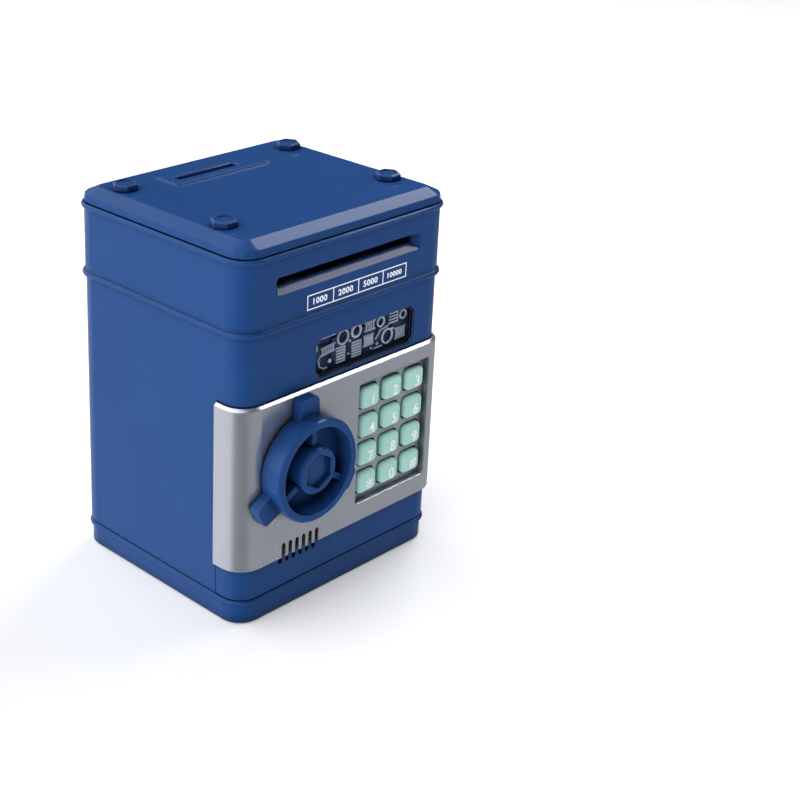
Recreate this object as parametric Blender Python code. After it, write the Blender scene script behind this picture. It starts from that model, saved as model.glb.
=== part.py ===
"""Toy ATM savings bank: a hollow box safe with a powered bill feeder, a coin slot, a keypad door and a knob.

Metres, +Z up, front facing -Y, origin under the middle of the whole toy, knob included, on the surface it
stands on. All sizes below are millimetres, and places are first worked out from the casing's own middle.
"""
import math

import bmesh
import bpy
from mathutils import Matrix, Vector

MM = 0.001

# ---------------------------------------------------------------- driving sizes
GAP = 0.3            # clearance between pieces that touch
FIT = 0.2            # radial clearance of a shaft in its hole
WIDTH = 128.0        # upper housing, outside, left to right
DEPTH = 111.0        # upper housing, outside, front to back
CORNER = 10.0        # vertical corner radius
WALL = 2.2           # casing wall
STEP_IN = 0.5        # how far the lower casing is set in from the upper housing
PLINTH_HEIGHT = 12.0
CASING_HEIGHT = 124.6
HEAD_HEIGHT = 31.4   # window band above the door
HOUSING_HEIGHT = 34.6
LID_RIM = 3.7        # upright rim of the lid
LID_DRAFT = 0.5      # how far the rim leans in
LID_SLOPE = 2.7      # height of the sloped edge
LID_BEVEL = 6.6      # width of the sloped edge
BEAD = 1.3           # how far the beads stand out
BEAD_HEIGHT = 2.4
FLOOR = 2.2          # floor of the plinth

DOOR_WRAP = 15.0     # how far the door reaches round the corners
PLATE_T = 1.7        # silver face plate
PLATE_LOW = 15.4     # bare blue strip under the face plate
PLATE_BEVEL = 1.2
HINGE_R = 2.3        # hinge barrel
PIN_R = 1.2
PIN_GRIP = 9.0       # length of a hinge pin in the door and in the frame

KNOB_LEFT = 34.0     # knob centre from the left face
KNOB_UP = 59.5       # knob centre above the door's lower edge
KNOB_R = 24.0
KNOB_DEPTH = 11.5
KNOB_WALL = 3.6
KNOB_FLOOR = 2.6
LUG_OUT = 8.5
LUG_W = 12.0
LUG_DEPTH = 5.4
HUB_R = 10.8
HEX_R = 8.5          # hexagon socket in the hub cap
HEX_DEEP = 2.2
SPOKE_W = 2.8
SPINDLE_R = 3.0
LEVER_SHORT = 5.0    # lever tip ends this far from the left face
LEVER_W = 8.0
LEVER_T = 2.5

KEY_W = 12.0
KEY_H = 11.0
KEY_PITCH_X = 15.1
KEY_PITCH_Z = 14.3
KEY_SUNK = 0.6       # key face behind the front of the face plate
BED_DEEP = 3.2       # keypad bed behind the front of the face plate
KEY_TRAVEL = 1.5
KEY_CLEAR = 0.35
SKIRT_T = 1.0        # flange that keeps a key in its bed
DOME_T = 0.6         # rubber dome sheet
PAD_MARGIN_X = 2.8   # keypad bed beyond the outer keys
PAD_MARGIN_Z = 3.6
PAD_RIGHT = 33.4     # middle of the keypad from the right face
PAD_UP = 54.9        # middle of the keypad above the door's lower edge

GRILLE_RIGHT = 1.8   # grille centre beside the knob centre
GRILLE_SLOTS = 6
GRILLE_PITCH = 4.15
GRILLE_W = 2.3
GRILLE_LOW = 11.0    # slot ends above the door's lower edge
GRILLE_HIGH = 22.4
SPEAKER_R = 12.0

WINDOW_W = 64.0
WINDOW_H = 18.6
WINDOW_CHAMFER = 3.0
WINDOW_RIGHT = 52.0  # window centre from the right face
WINDOW_UP = 11.0     # window centre above the door's upper edge
LENS_T = 1.6

SLOT_LESS = 2.0      # bill slot ends inside the guide cheeks
SLOT_H = 2.8
SLOT_UP = 20.3       # bill slot above the housing's lower edge
FUNNEL_GROW = 3.5    # funnel beyond each end of the slot
FUNNEL_DEPTH = 3.6
FUNNEL_LOW = 4.6
FUNNEL_HIGH = 3.4
COIN_W = 36.0        # coin slot
COIN_GAP = 4.4
COIN_CHAMFER = 0.7
COIN_X = -6.5
COIN_BACK = 24.2      # coin slot ahead of the rear face
COIN_PAD_W = 58.0    # raised pad round the coin slot
COIN_PAD_D = 16.6
COIN_PAD_X = -2.0
COIN_PAD_TALL = 0.9
LID_SHEET = 2.2

BOLT_SIDE = 13.5     # bolt centres from the side faces
BOLT_FRONT = 26.5    # front bolts from the front face
BOLT_REAR = 19.5     # rear bolts from the rear face
BOLT_FLAT = 10.6
BOLT_TALL = 2.8
BOLT_DISH_R = 3.9
BOLT_DISH_DEEP = 0.5
BOLT_SHANK_R = 2.4

ROLLER_R = 7.0
IDLER_R = 4.0
ROLLER_W = 12.0
ROLLER_IN = 20.0     # roller centres inside the guide cheeks
SHAFT_R = 1.5
NIP = 0.4
ROLLER_BACK = 17.0   # roller shaft behind the front face
GEAR_ROOM = 20.0     # side room outside the guide for the gears
GUIDE_WALL = 1.5
CHANNEL = 3.4
BEND_R = 9.0
MODULE = 0.8
TEETH_ROLLER = 18
TEETH_SMALL = 10
TEETH_LARGE = 24
TEETH_MOTOR = 9
MESH_GAP = 0.2
GEAR_T = 3.0
MOTOR_L = 25.0
MOTOR_H = 20.0
MOTOR_D = 15.0

CELL_R = 7.25
CELL_L = 50.5
CELL_PITCH = 15.3
BATTERY_REAR = 37.5  # middle of the battery box from the rear face
BOARD_T = 1.6

# ---------------------------------------------------------------- places that follow from the sizes
HALF_W = WIDTH / 2
HALF_D = DEPTH / 2
LOW_W = HALF_W - STEP_IN
KNOB_X = -HALF_W + KNOB_LEFT
PAD_X = HALF_W - PAD_RIGHT
GRILLE_X = KNOB_X + GRILLE_RIGHT
WINDOW_X = HALF_W - WINDOW_RIGHT
GUIDE_HALF = HALF_W - GEAR_ROOM
SLOT_W = 2 * (GUIDE_HALF - SLOT_LESS)
FUNNEL_W = SLOT_W + 2 * FUNNEL_GROW
ROLLER_X = GUIDE_HALF - ROLLER_IN
BOLT_X = HALF_W - BOLT_SIDE
BATTERY_Y = HALF_D - BATTERY_REAR
LEVER_REACH = KNOB_LEFT - LEVER_SHORT
LOW_D = HALF_D - STEP_IN
Z_CASING = PLINTH_HEIGHT + GAP
Z_HOUSING = Z_CASING + CASING_HEIGHT + GAP
Z_LID = Z_HOUSING + HOUSING_HEIGHT + GAP
Z_TOP = Z_LID + LID_RIM + LID_SLOPE
Z_DOOR = PLINTH_HEIGHT + 0.6
Z_DOOR_TOP = Z_DOOR + CASING_HEIGHT - HEAD_HEIGHT
Z_PLATE = Z_DOOR + PLATE_LOW
DOOR_BACK = -LOW_D + DOOR_WRAP
PLATE_BACK_Y = -LOW_D - GAP
PLATE_FRONT_Y = PLATE_BACK_Y - PLATE_T
HINGE_X = LOW_W - HINGE_R
HINGE_Y = DOOR_BACK - 1.0
KNOB_Z = Z_DOOR + KNOB_UP
KNOB_BACK_Y = PLATE_FRONT_Y - GAP
KNOB_FRONT_Y = KNOB_BACK_Y - KNOB_DEPTH
PAD_Z = Z_DOOR + PAD_UP
PAD_HALF_X = KEY_PITCH_X + KEY_W / 2 + PAD_MARGIN_X
PAD_HALF_Z = 1.5 * KEY_PITCH_Z + KEY_H / 2 + PAD_MARGIN_Z
COVER_BACK_Y = DOOR_BACK - 0.2
COVER_T = 2.0
WINDOW_Z = Z_DOOR_TOP + WINDOW_UP
COIN_Y = HALF_D - COIN_BACK
SLOT_Z = Z_HOUSING + SLOT_UP
DECK_Z = Z_HOUSING + 0.8
DECK_T = 2.0
DECK_TOP = DECK_Z + DECK_T
ROLLER_Y = -HALF_D + ROLLER_BACK
ROLLER_Z = SLOT_Z - ROLLER_R - NIP / 2
IDLER_Z = SLOT_Z + IDLER_R + NIP / 2
RP_ROLLER = MODULE * TEETH_ROLLER / 2
RP_SMALL = MODULE * TEETH_SMALL / 2
RP_LARGE = MODULE * TEETH_LARGE / 2
RP_MOTOR = MODULE * TEETH_MOTOR / 2
ROLLER_TO_LAY = RP_ROLLER + RP_SMALL + MESH_GAP
LAY_TO_MOTOR = RP_LARGE + RP_MOTOR + MESH_GAP
LAY_ANGLE = math.radians(8.0)
MOTOR_ANGLE = math.radians(-5.0)
LAY_Y = ROLLER_Y + ROLLER_TO_LAY * math.cos(LAY_ANGLE)
LAY_Z = ROLLER_Z + ROLLER_TO_LAY * math.sin(LAY_ANGLE)
MOTOR_Y = LAY_Y + LAY_TO_MOTOR * math.cos(MOTOR_ANGLE)
MOTOR_Z = LAY_Z + LAY_TO_MOTOR * math.sin(MOTOR_ANGLE)
GEAR_X = GUIDE_HALF + GUIDE_WALL + 2.6
BEND_Y = ROLLER_Y + 4.5
BEND_Z = SLOT_Z - BEND_R
GUIDE_BACK = BEND_Y + BEND_R + CHANNEL / 2 + 1.4
BOX_HALF_X = 1.5 * CELL_PITCH + 2.0
BOX_HALF_Y = CELL_L / 2 + 5.0
BED_FRONT = PLATE_FRONT_Y + BED_DEEP
BED_BACK = -LOW_D + WALL + GAP + 1.2
SKIRT_FRONT = BED_BACK + GAP
DOME_FRONT = SKIRT_FRONT + SKIRT_T + KEY_TRAVEL + GAP
SHEET_FRONT = DOME_FRONT + DOME_T
BOARD_FRONT = SHEET_FRONT + 0.9 + GAP
KEY_FACE = PLATE_FRONT_Y + KEY_SUNK
PLUNGER_X = KNOB_X - 18.0
PLUNGER_Z = KNOB_Z + LEVER_W / 2 + 4.0
LEVER_FRONT = DOOR_BACK + 3.0
MOTOR_X1 = GEAR_X + GEAR_T + 0.5 - 3.0
MOTOR_X0 = MOTOR_X1 - MOTOR_L
MID_SHIFT = (-KNOB_FRONT_Y - HALF_D - BEAD) / 2
KEY_NAMES = ("1", "2", "3", "4", "5", "6", "7", "8", "9", "star", "0", "hash")
LUG_ANGLES = (math.radians(90), math.radians(210), math.radians(330))

BLUE = (0.037, 0.105, 0.292)
SILVER = (0.56, 0.58, 0.63)
MINT = (0.33, 0.60, 0.49)


# ---------------------------------------------------------------- making solids
def material(name, colour, roughness=0.4, metallic=0.0, alpha=1.0):
    mat = bpy.data.materials.get(name)
    if mat is None:
        mat = bpy.data.materials.new(name)
        mat.use_nodes = True
        shader = mat.node_tree.nodes["Principled BSDF"]
        shader.inputs["Base Color"].default_value = (*colour, 1.0)
        shader.inputs["Roughness"].default_value = roughness
        shader.inputs["Metallic"].default_value = metallic
        shader.inputs["Alpha"].default_value = alpha
    return mat


def solid(name, bm):
    """A new object from a bmesh in millimetres, with its normals facing out."""
    bmesh.ops.remove_doubles(bm, verts=bm.verts, dist=0.001)
    bmesh.ops.recalc_face_normals(bm, faces=bm.faces)
    bmesh.ops.scale(bm, vec=(MM, MM, MM), verts=bm.verts)
    mesh = bpy.data.meshes.new(name)
    bm.to_mesh(mesh)
    bm.free()
    obj = bpy.data.objects.new(name, mesh)
    bpy.context.scene.collection.objects.link(obj)
    return obj


def loft(name, rings):
    """Close a stack of rings that all have the same number of points."""
    bm = bmesh.new()
    rows = [[bm.verts.new(point) for point in ring] for ring in rings]
    count = len(rows[0])
    for low, high in zip(rows, rows[1:]):
        for i in range(count):
            j = (i + 1) % count
            bm.faces.new((low[i], low[j], high[j], high[i]))
    bm.faces.new(rows[0][::-1])
    bm.faces.new(rows[-1])
    return solid(name, bm)


def along(axis, a, b, t):
    """The point with outline coordinates a, b at distance t along the axis."""
    return {"X": (t, a, b), "Y": (a, t, b), "Z": (a, b, t)}[axis]


def prism(name, outline, start, end, axis="Z"):
    """An outline pushed along an axis. Axis X takes (y, z) points, Y takes (x, z), Z takes (x, y)."""
    return loft(name, [[along(axis, a, b, t) for a, b in outline] for t in (start, end)])


def box(name, low, high):
    outline = [(low[0], low[1]), (high[0], low[1]), (high[0], high[1]), (low[0], high[1])]
    return prism(name, outline, low[2], high[2])


def circle(radius, centre=(0.0, 0.0), steps=20, start=0.0):
    return [(centre[0] + radius * math.cos(start + 2 * math.pi * i / steps),
             centre[1] + radius * math.sin(start + 2 * math.pi * i / steps)) for i in range(steps)]


def rounded(half_a, half_b, radius, centre=(0.0, 0.0), steps=5):
    """Rounded rectangle outline, anticlockwise."""
    points = []
    for side_a, side_b, turn in ((1, 1, 0), (-1, 1, 1), (-1, -1, 2), (1, -1, 3)):
        for i in range(steps + 1):
            angle = math.pi / 2 * (turn + i / steps)
            points.append((centre[0] + side_a * (half_a - radius) + radius * math.cos(angle),
                           centre[1] + side_b * (half_b - radius) + radius * math.sin(angle)))
    return points


def stack(name, sections, radius=CORNER, steps=5):
    """Rounded rectangles (half width, half depth, height) joined into one upright solid."""
    rings = []
    for half_a, half_b, height in sections:
        shrink = sections[0][0] - half_a
        turn = max(radius - shrink, 0.8)
        rings.append([(a, b, height) for a, b in rounded(half_a, half_b, turn, steps=steps)])
    return loft(name, rings)


def rod(name, radius, centre, start, end, axis, steps=20):
    return prism(name, circle(radius, centre, steps), start, end, axis)


def turned(name, profile, centre, axis, steps=40):
    """A turned solid: profile is (radius, distance along the axis) from one end to the other."""
    rings = []
    for radius, t in profile:
        rings.append([along(axis, a, b, t) for a, b in circle(max(radius, 0.01), centre, steps)])
    return loft(name, rings)


def boolean(obj, tool, operation):
    """Cut or join at once, then remove the tool."""
    modifier = obj.modifiers.new(operation.lower(), "BOOLEAN")
    modifier.operation = operation
    modifier.solver = "EXACT"
    modifier.object = tool
    graph = bpy.context.evaluated_depsgraph_get()
    result = bpy.data.meshes.new_from_object(obj.evaluated_get(graph))
    obj.modifiers.clear()
    old = obj.data
    obj.data = result
    bpy.data.meshes.remove(old)
    bpy.data.objects.remove(tool)
    return obj


def cut(obj, *tools):
    for tool in tools:
        boolean(obj, tool, "DIFFERENCE")
    return obj


def join(obj, *tools):
    for tool in tools:
        boolean(obj, tool, "UNION")
    return obj


def finish(obj, mat, pivot=None, smooth=35.0):
    """Clean the mesh, colour it, and put the object's origin at its joint."""
    bm = bmesh.new()
    bm.from_mesh(obj.data)
    bmesh.ops.remove_doubles(bm, verts=bm.verts, dist=0.00001)
    bmesh.ops.dissolve_limit(bm, angle_limit=math.radians(0.5), verts=bm.verts, edges=bm.edges)
    bm.to_mesh(obj.data)
    bm.free()
    obj.data.materials.clear()
    obj.data.materials.append(mat)
    obj.data.polygons.foreach_set("use_smooth", [True] * len(obj.data.polygons))
    obj.data.set_sharp_from_angle(angle=math.radians(smooth))
    if pivot is not None:
        place = Vector(pivot) * MM
        obj.data.transform(Matrix.Translation(-place))
        obj.location = place
    return obj


def gear(name, teeth, start, end, centre, phase=0.0):
    """Spur gear with straight-flanked teeth, running along X."""
    pitch = MODULE * teeth / 2
    tip = pitch + 0.75 * MODULE
    root = pitch - 1.15 * MODULE
    slots = 2 * math.pi / teeth
    outline = []
    for i in range(teeth):
        middle = phase + slots * i
        for share, radius in ((-0.26, root), (-0.13, tip), (0.13, tip), (0.26, root)):
            angle = middle + share * slots
            outline.append((centre[0] + radius * math.cos(angle), centre[1] + radius * math.sin(angle)))
    return prism(name, outline, start, end, "X")


def bead_ring(sections_half, low, high):
    """A half-round bead's sections between two heights."""
    half_a, half_b = sections_half
    span = high - low
    return [(half_a + BEAD * 0.55, half_b + BEAD * 0.55, low),
            (half_a + BEAD, half_b + BEAD, low + 0.3 * span),
            (half_a + BEAD, half_b + BEAD, low + 0.7 * span),
            (half_a + BEAD * 0.55, half_b + BEAD * 0.55, high)]


# ---------------------------------------------------------------- materials
def make_materials():
    return {
        "blue": material("blue_plastic", BLUE, 0.38),
        "silver": material("silver_plating", SILVER, 0.3, 0.85),
        "mint": material("mint_plastic", MINT, 0.35),
        "steel": material("steel", (0.6, 0.6, 0.62), 0.3, 1.0),
        "brass": material("brass", (0.72, 0.5, 0.2), 0.35, 1.0),
        "white": material("white_plastic", (0.8, 0.8, 0.78), 0.4),
        "black": material("black_plastic", (0.03, 0.03, 0.033), 0.5),
        "rubber": material("grey_rubber", (0.08, 0.08, 0.085), 0.8),
        "board": material("circuit_board", (0.03, 0.2, 0.09), 0.45),
        "clear": material("clear_plastic", (0.75, 0.8, 0.88), 0.1, 0.0, 0.3),
        "cell": material("cell_sleeve", (0.1, 0.1, 0.12), 0.35, 0.3),
    }


# ---------------------------------------------------------------- base and battery
def make_base(mats):
    half_a, half_b = LOW_W - 0.2, LOW_D - 0.2
    bead_low = PLINTH_HEIGHT - BEAD_HEIGHT
    plinth = stack("base_plinth", [
        (half_a - 0.8, half_b - 0.8, 0.0), (half_a, half_b, 0.8),
        (half_a, half_b, bead_low - 0.2), *bead_ring((half_a, half_b), bead_low, PLINTH_HEIGHT - 0.2),
        (half_a + 0.2, half_b + 0.2, PLINTH_HEIGHT)])
    well = stack("well", [(LOW_W - WALL, LOW_D - WALL, FLOOR),
                          (LOW_W - WALL, LOW_D - WALL, PLINTH_HEIGHT + 1)],
                 CORNER - WALL)
    cut(plinth, well)
    post = box("post", (HINGE_X - 3.4, HINGE_Y - 3.2, FLOOR - 0.5),
               (LOW_W - 1.0, HINGE_Y + 3.2, PLINTH_HEIGHT))
    bay = box("bay", (-BOX_HALF_X + 1.5, BATTERY_Y - BOX_HALF_Y + 1.5, -1),
              (BOX_HALF_X - 1.5, BATTERY_Y + BOX_HALF_Y - 1.5, FLOOR + 1))
    boss = rod("boss", 3.6, (0.0, BATTERY_Y - BOX_HALF_Y - 4.0), FLOOR - 0.5, 8.0, "Z")
    screw_hole = rod("screw_hole", 1.3, (0.0, BATTERY_Y - BOX_HALF_Y - 4.0), -1, 7.0, "Z", 16)
    tab_seat = prism("tab_seat", rounded(6.0, 4.2, 2.0, (0.0, BATTERY_Y - BOX_HALF_Y - 2.0)), -1, 1.3)
    join(plinth, post, boss)
    cut(plinth, bay, tab_seat, screw_hole,
        rod("pin_hole", PIN_R + FIT, (HINGE_X, HINGE_Y), PLINTH_HEIGHT - PIN_GRIP, PLINTH_HEIGHT + 1,
            "Z", 16))
    return finish(plinth, mats["blue"])


def make_battery(mats):
    low_y, high_y = BATTERY_Y - BOX_HALF_Y, BATTERY_Y + BOX_HALF_Y
    roof = FLOOR + 0.6 + 2 * CELL_R + 0.6
    shell = box("battery_box", (-BOX_HALF_X - 2.5, low_y - 0.1, FLOOR + GAP),
                (BOX_HALF_X + 2.5, high_y + 0.1, FLOOR + 1.8))
    join(shell, box("hood", (-BOX_HALF_X, low_y, FLOOR + GAP + 0.2), (BOX_HALF_X, high_y, roof + 1.5)))
    cut(shell, box("inside", (-BOX_HALF_X + 1.5, low_y + 1.5, 0), (BOX_HALF_X - 1.5, high_y - 1.5, roof)))
    for side in (-1, 1):
        join(shell, box("rib", (side * CELL_PITCH / 2 - 0.25, low_y + 1.0, roof - 4.0),
                        (side * CELL_PITCH / 2 + 0.25, high_y - 1.0, roof + 0.5)))
    finish(shell, mats["black"])
    for i in range(3):
        x = (i - 1) * CELL_PITCH
        turn = 1 if i % 2 == 0 else -1
        start = -turn * CELL_L / 2
        profile = [(CELL_R - 0.4, start), (CELL_R, start + turn * 0.5),
                   (CELL_R, start + turn * (CELL_L - 1.8)),
                   (CELL_R - 0.5, start + turn * (CELL_L - 1.2)), (2.6, start + turn * (CELL_L - 1.2)),
                   (2.6, start + turn * CELL_L)]
        profile = [(r, BATTERY_Y + t) for r, t in profile]
        cell = turned(f"battery_cell_{i + 1}", profile, (x, FLOOR + 0.6 + CELL_R), "Y", 18)
        finish(cell, mats["cell"])
    for word, side in (("front", -1), ("rear", 1)):
        face = BATTERY_Y + side * (BOX_HALF_Y - 1.5 - GAP)
        inner = face - side * 0.5
        strip = box(f"battery_contact_{word}", (-BOX_HALF_X + 2.2, min(face, inner), FLOOR + 1.4),
                    (BOX_HALF_X - 2.2, max(face, inner), roof - 4.6))
        for i in range(3):
            x = (i - 1) * CELL_PITCH
            cone = turned("cone", [(3.4, inner + side * 0.3), (3.4, inner - side * 0.8),
                                   (1.8, inner - side * 2.2)], (x, FLOOR + 0.6 + CELL_R), "Y", 14)
            join(strip, cone)
        finish(strip, mats["steel"])
    lid = box("battery_cover", (-BOX_HALF_X + 1.5 + GAP, low_y + 1.5 + GAP, 0.3),
              (BOX_HALF_X - 1.5 - GAP, high_y - 1.5 - GAP, 2.0))
    join(lid, prism("tab", rounded(6.0 - GAP, 4.2 - GAP, 1.8, (0.0, low_y - 2.0)), 0.3, 1.0),
         box("tab_neck", (-4.5, low_y - 1.0, 0.3), (4.5, low_y + 3.0, 1.0)))
    cut(lid, rod("lid_hole", 1.5, (0.0, low_y - 4.0), -1, 3, "Z", 16))
    for i in range(5):
        y = BATTERY_Y - 8.0 + 4.0 * i
        cut(lid, box("grip", (-9, y, 0.2), (9, y + 1.4, 0.75)))
    finish(lid, mats["blue"])
    screw = turned("battery_cover_screw", [(2.2, 0.02), (2.2, 0.15), (2.2, 0.2), (1.0, 0.25), (1.0, 5.5),
                                           (0.3, 6.5)],
                   (0.0, low_y - 4.0), "Z", 16)
    finish(screw, mats["steel"])


# ---------------------------------------------------------------- lower casing, window
def make_casing(mats):
    top = Z_CASING + CASING_HEIGHT
    tube = stack("lower_casing", [(LOW_W, LOW_D, Z_CASING), (LOW_W, LOW_D, top)])
    hollow = stack("hollow", [(LOW_W - WALL, LOW_D - WALL, Z_CASING - 1),
                              (LOW_W - WALL, LOW_D - WALL, top + 1)],
                   CORNER - WALL)
    cut(tube, hollow)
    doorway = box("doorway", (-HALF_W - 5, -HALF_D - 5, Z_CASING - 1),
                  (HALF_W - 10, DOOR_BACK + 0.4, Z_DOOR_TOP + 0.5))
    hinge_side = box("hinge_side", (HALF_W - 12, -HALF_D - 5, Z_CASING - 1),
                     (HALF_W + 5, HINGE_Y + HINGE_R + 0.4, Z_DOOR_TOP + 0.5))
    cut(tube, doorway, hinge_side)
    boss = box("boss", (HINGE_X - 3.4, HINGE_Y - 3.2, Z_DOOR_TOP + 0.5),
               (LOW_W - 1.0, HINGE_Y + 3.2, Z_DOOR_TOP + PIN_GRIP + 2.0))
    join(tube, boss)
    cut(tube, rod("pin_hole", PIN_R + FIT, (HINGE_X, HINGE_Y), Z_DOOR_TOP - 1, Z_DOOR_TOP + PIN_GRIP,
                  "Z", 16))
    window = prism("window", chamfered(WINDOW_W / 2, WINDOW_H / 2, WINDOW_CHAMFER, (WINDOW_X, WINDOW_Z)),
                   -HALF_D - 2, -LOW_D + WALL + 2, "Y")
    cut(tube, window)
    finish(tube, mats["blue"])
    strike = box("latch_strike", (-LOW_W + WALL + GAP, DOOR_BACK + 0.8, KNOB_Z - 9),
                 (-LOW_W + 9.5, DOOR_BACK + 2.6, KNOB_Z + 4.5))
    foot = box("foot", (-LOW_W + WALL + GAP, DOOR_BACK + 0.8, KNOB_Z - 9),
               (-LOW_W + WALL + GAP + 2.0, DOOR_BACK + 16, KNOB_Z + 4.5))
    join(strike, foot)
    finish(strike, mats["steel"])


def chamfered(half_a, half_b, chamfer, centre):
    """Rectangle outline with cut corners."""
    outline = []
    for side_a, side_b in ((1, 1), (-1, 1), (-1, -1), (1, -1)):
        near = (centre[0] + side_a * half_a, centre[1] + side_b * (half_b - chamfer))
        far = (centre[0] + side_a * (half_a - chamfer), centre[1] + side_b * half_b)
        outline += [near, far] if side_a * side_b > 0 else [far, near]
    return outline


def make_window(mats):
    front = -LOW_D + 0.5
    step = front + LENS_T + 0.4
    lens = prism("window_lens", chamfered(WINDOW_W / 2 - GAP, WINDOW_H / 2 - GAP, WINDOW_CHAMFER,
                                          (WINDOW_X, WINDOW_Z)),
                 front, step, "Y")
    join(lens, prism("flange", chamfered(WINDOW_W / 2 + 2, WINDOW_H / 2 + 1.6, WINDOW_CHAMFER,
                                         (WINDOW_X, WINDOW_Z)),
                     -LOW_D + WALL + GAP, -LOW_D + WALL + GAP + 0.9, "Y"))
    finish(lens, mats["clear"])
    back = -LOW_D + WALL + GAP + 0.9 + GAP
    panel = prism("circuit_panel", chamfered(WINDOW_W / 2 + 2, WINDOW_H / 2 + 1.6, WINDOW_CHAMFER,
                                             (WINDOW_X, WINDOW_Z)),
                  back + 1.4, back + 3.0, "Y")
    for i in range(6):
        x = WINDOW_X - WINDOW_W / 2 + 7 + i * 10
        tall = 5.0 if i % 2 else 3.2
        join(panel, box("chip", (x - 3, back + 0.4, WINDOW_Z - tall),
                        (x + 3, back + 1.8, WINDOW_Z + tall)))
    finish(panel, mats["silver"])


# ---------------------------------------------------------------- door
def door_band(name, offset, thick, low, high, back):
    """A shell that wraps the front and both corners, at an offset outside the casing line."""
    outer = stack(name, [(LOW_W + offset + thick, LOW_D + offset + thick, low),
                         (LOW_W + offset + thick, LOW_D + offset + thick, high)], CORNER + offset + thick)
    inner = stack("inner", [(LOW_W + offset, LOW_D + offset, low - 1),
                            (LOW_W + offset, LOW_D + offset, high + 1)],
                  CORNER + offset)
    cut(outer, inner, box("rear", (-WIDTH, back, low - 2), (WIDTH, DEPTH, high + 2)))
    return outer


def grille_cutters(low, high, front, back):
    cutters = []
    for i in range(GRILLE_SLOTS):
        x = GRILLE_X + (i - (GRILLE_SLOTS - 1) / 2) * GRILLE_PITCH
        outline = rounded(GRILLE_W / 2, (high - low) / 2, GRILLE_W / 2 - 0.05, (x, (low + high) / 2), 3)
        cutters.append(prism("slit", outline, front, back, "Y"))
    return cutters


def make_door_shell(mats):
    shell = door_band("door_shell", -WALL, WALL, Z_DOOR, Z_DOOR_TOP, DOOR_BACK)
    cut(shell, box("barrel_room", (HINGE_X - 5, HINGE_Y, Z_DOOR - 1),
                   (HALF_W + 2, DOOR_BACK + 1, Z_DOOR_TOP + 1)))
    barrel = rod("barrel", HINGE_R, (HINGE_X, HINGE_Y), Z_DOOR, Z_DOOR_TOP, "Z", 24)
    web = box("web", (HINGE_X - HINGE_R, HINGE_Y - 5.0, Z_DOOR), (LOW_W - 0.01, HINGE_Y, Z_DOOR_TOP))
    join(shell, web, barrel)
    pad = prism("pad_hole", rounded(PAD_HALF_X, PAD_HALF_Z, 1.5, (PAD_X, PAD_Z), 3), -HALF_D - 3,
                -HALF_D + 8, "Y")
    cut(shell, pad)
    cut(shell, rod("spindle_hole", SPINDLE_R + 1.2, (KNOB_X, KNOB_Z), -HALF_D - 3, -HALF_D + 8, "Y", 20))
    cut(shell, *grille_cutters(Z_DOOR + GRILLE_LOW, Z_DOOR + GRILLE_HIGH, -HALF_D - 3, -HALF_D + 8))
    for z0, z1 in ((Z_DOOR - 1, Z_DOOR + PIN_GRIP), (Z_DOOR_TOP - PIN_GRIP, Z_DOOR_TOP + 1)):
        cut(shell, rod("pin_bore", PIN_R + FIT, (HINGE_X, HINGE_Y), z0, z1, "Z", 16))
    return finish(shell, mats["blue"], pivot=(HINGE_X, HINGE_Y, Z_DOOR))


def make_faceplate(mats):
    plate = door_band("door_faceplate", GAP, PLATE_T, Z_PLATE, Z_DOOR_TOP - PLATE_BEVEL, DOOR_BACK)
    half_a, half_b = LOW_W + GAP, LOW_D + GAP
    bevel = stack("bevel", [(half_a + PLATE_T, half_b + PLATE_T, Z_DOOR_TOP - PLATE_BEVEL - 0.01),
                            (half_a + 0.5, half_b + 0.5, Z_DOOR_TOP)], CORNER + GAP + PLATE_T)
    cut(bevel, stack("bore", [(half_a, half_b, Z_PLATE), (half_a, half_b, Z_DOOR_TOP + 1)], CORNER + GAP),
        box("rear", (-WIDTH, DOOR_BACK, Z_PLATE), (WIDTH, DEPTH, Z_DOOR_TOP + 2)))
    join(plate, bevel)
    cut(plate, box("hinge_end", (HINGE_X - 4, HINGE_Y - 3.5, Z_PLATE - 1),
                   (WIDTH, DEPTH, Z_DOOR_TOP + 2)))
    cut(plate, prism("pad_hole", rounded(PAD_HALF_X, PAD_HALF_Z, 1.5, (PAD_X, PAD_Z), 3),
                     -HALF_D - 5, -HALF_D + 8, "Y"))
    cut(plate, rod("spindle_hole", SPINDLE_R + 1.2, (KNOB_X, KNOB_Z), -HALF_D - 5, -HALF_D + 8, "Y", 20))
    cut(plate, *grille_cutters(Z_DOOR + GRILLE_LOW, Z_DOOR + GRILLE_HIGH, -HALF_D - 5, -HALF_D + 8))
    return finish(plate, mats["silver"], pivot=(HINGE_X, HINGE_Y, Z_DOOR))


def key_places():
    for index, label in enumerate(KEY_NAMES):
        row, column = divmod(index, 3)
        yield label, PAD_X + (column - 1) * KEY_PITCH_X, PAD_Z + (1.5 - row) * KEY_PITCH_Z


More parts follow.
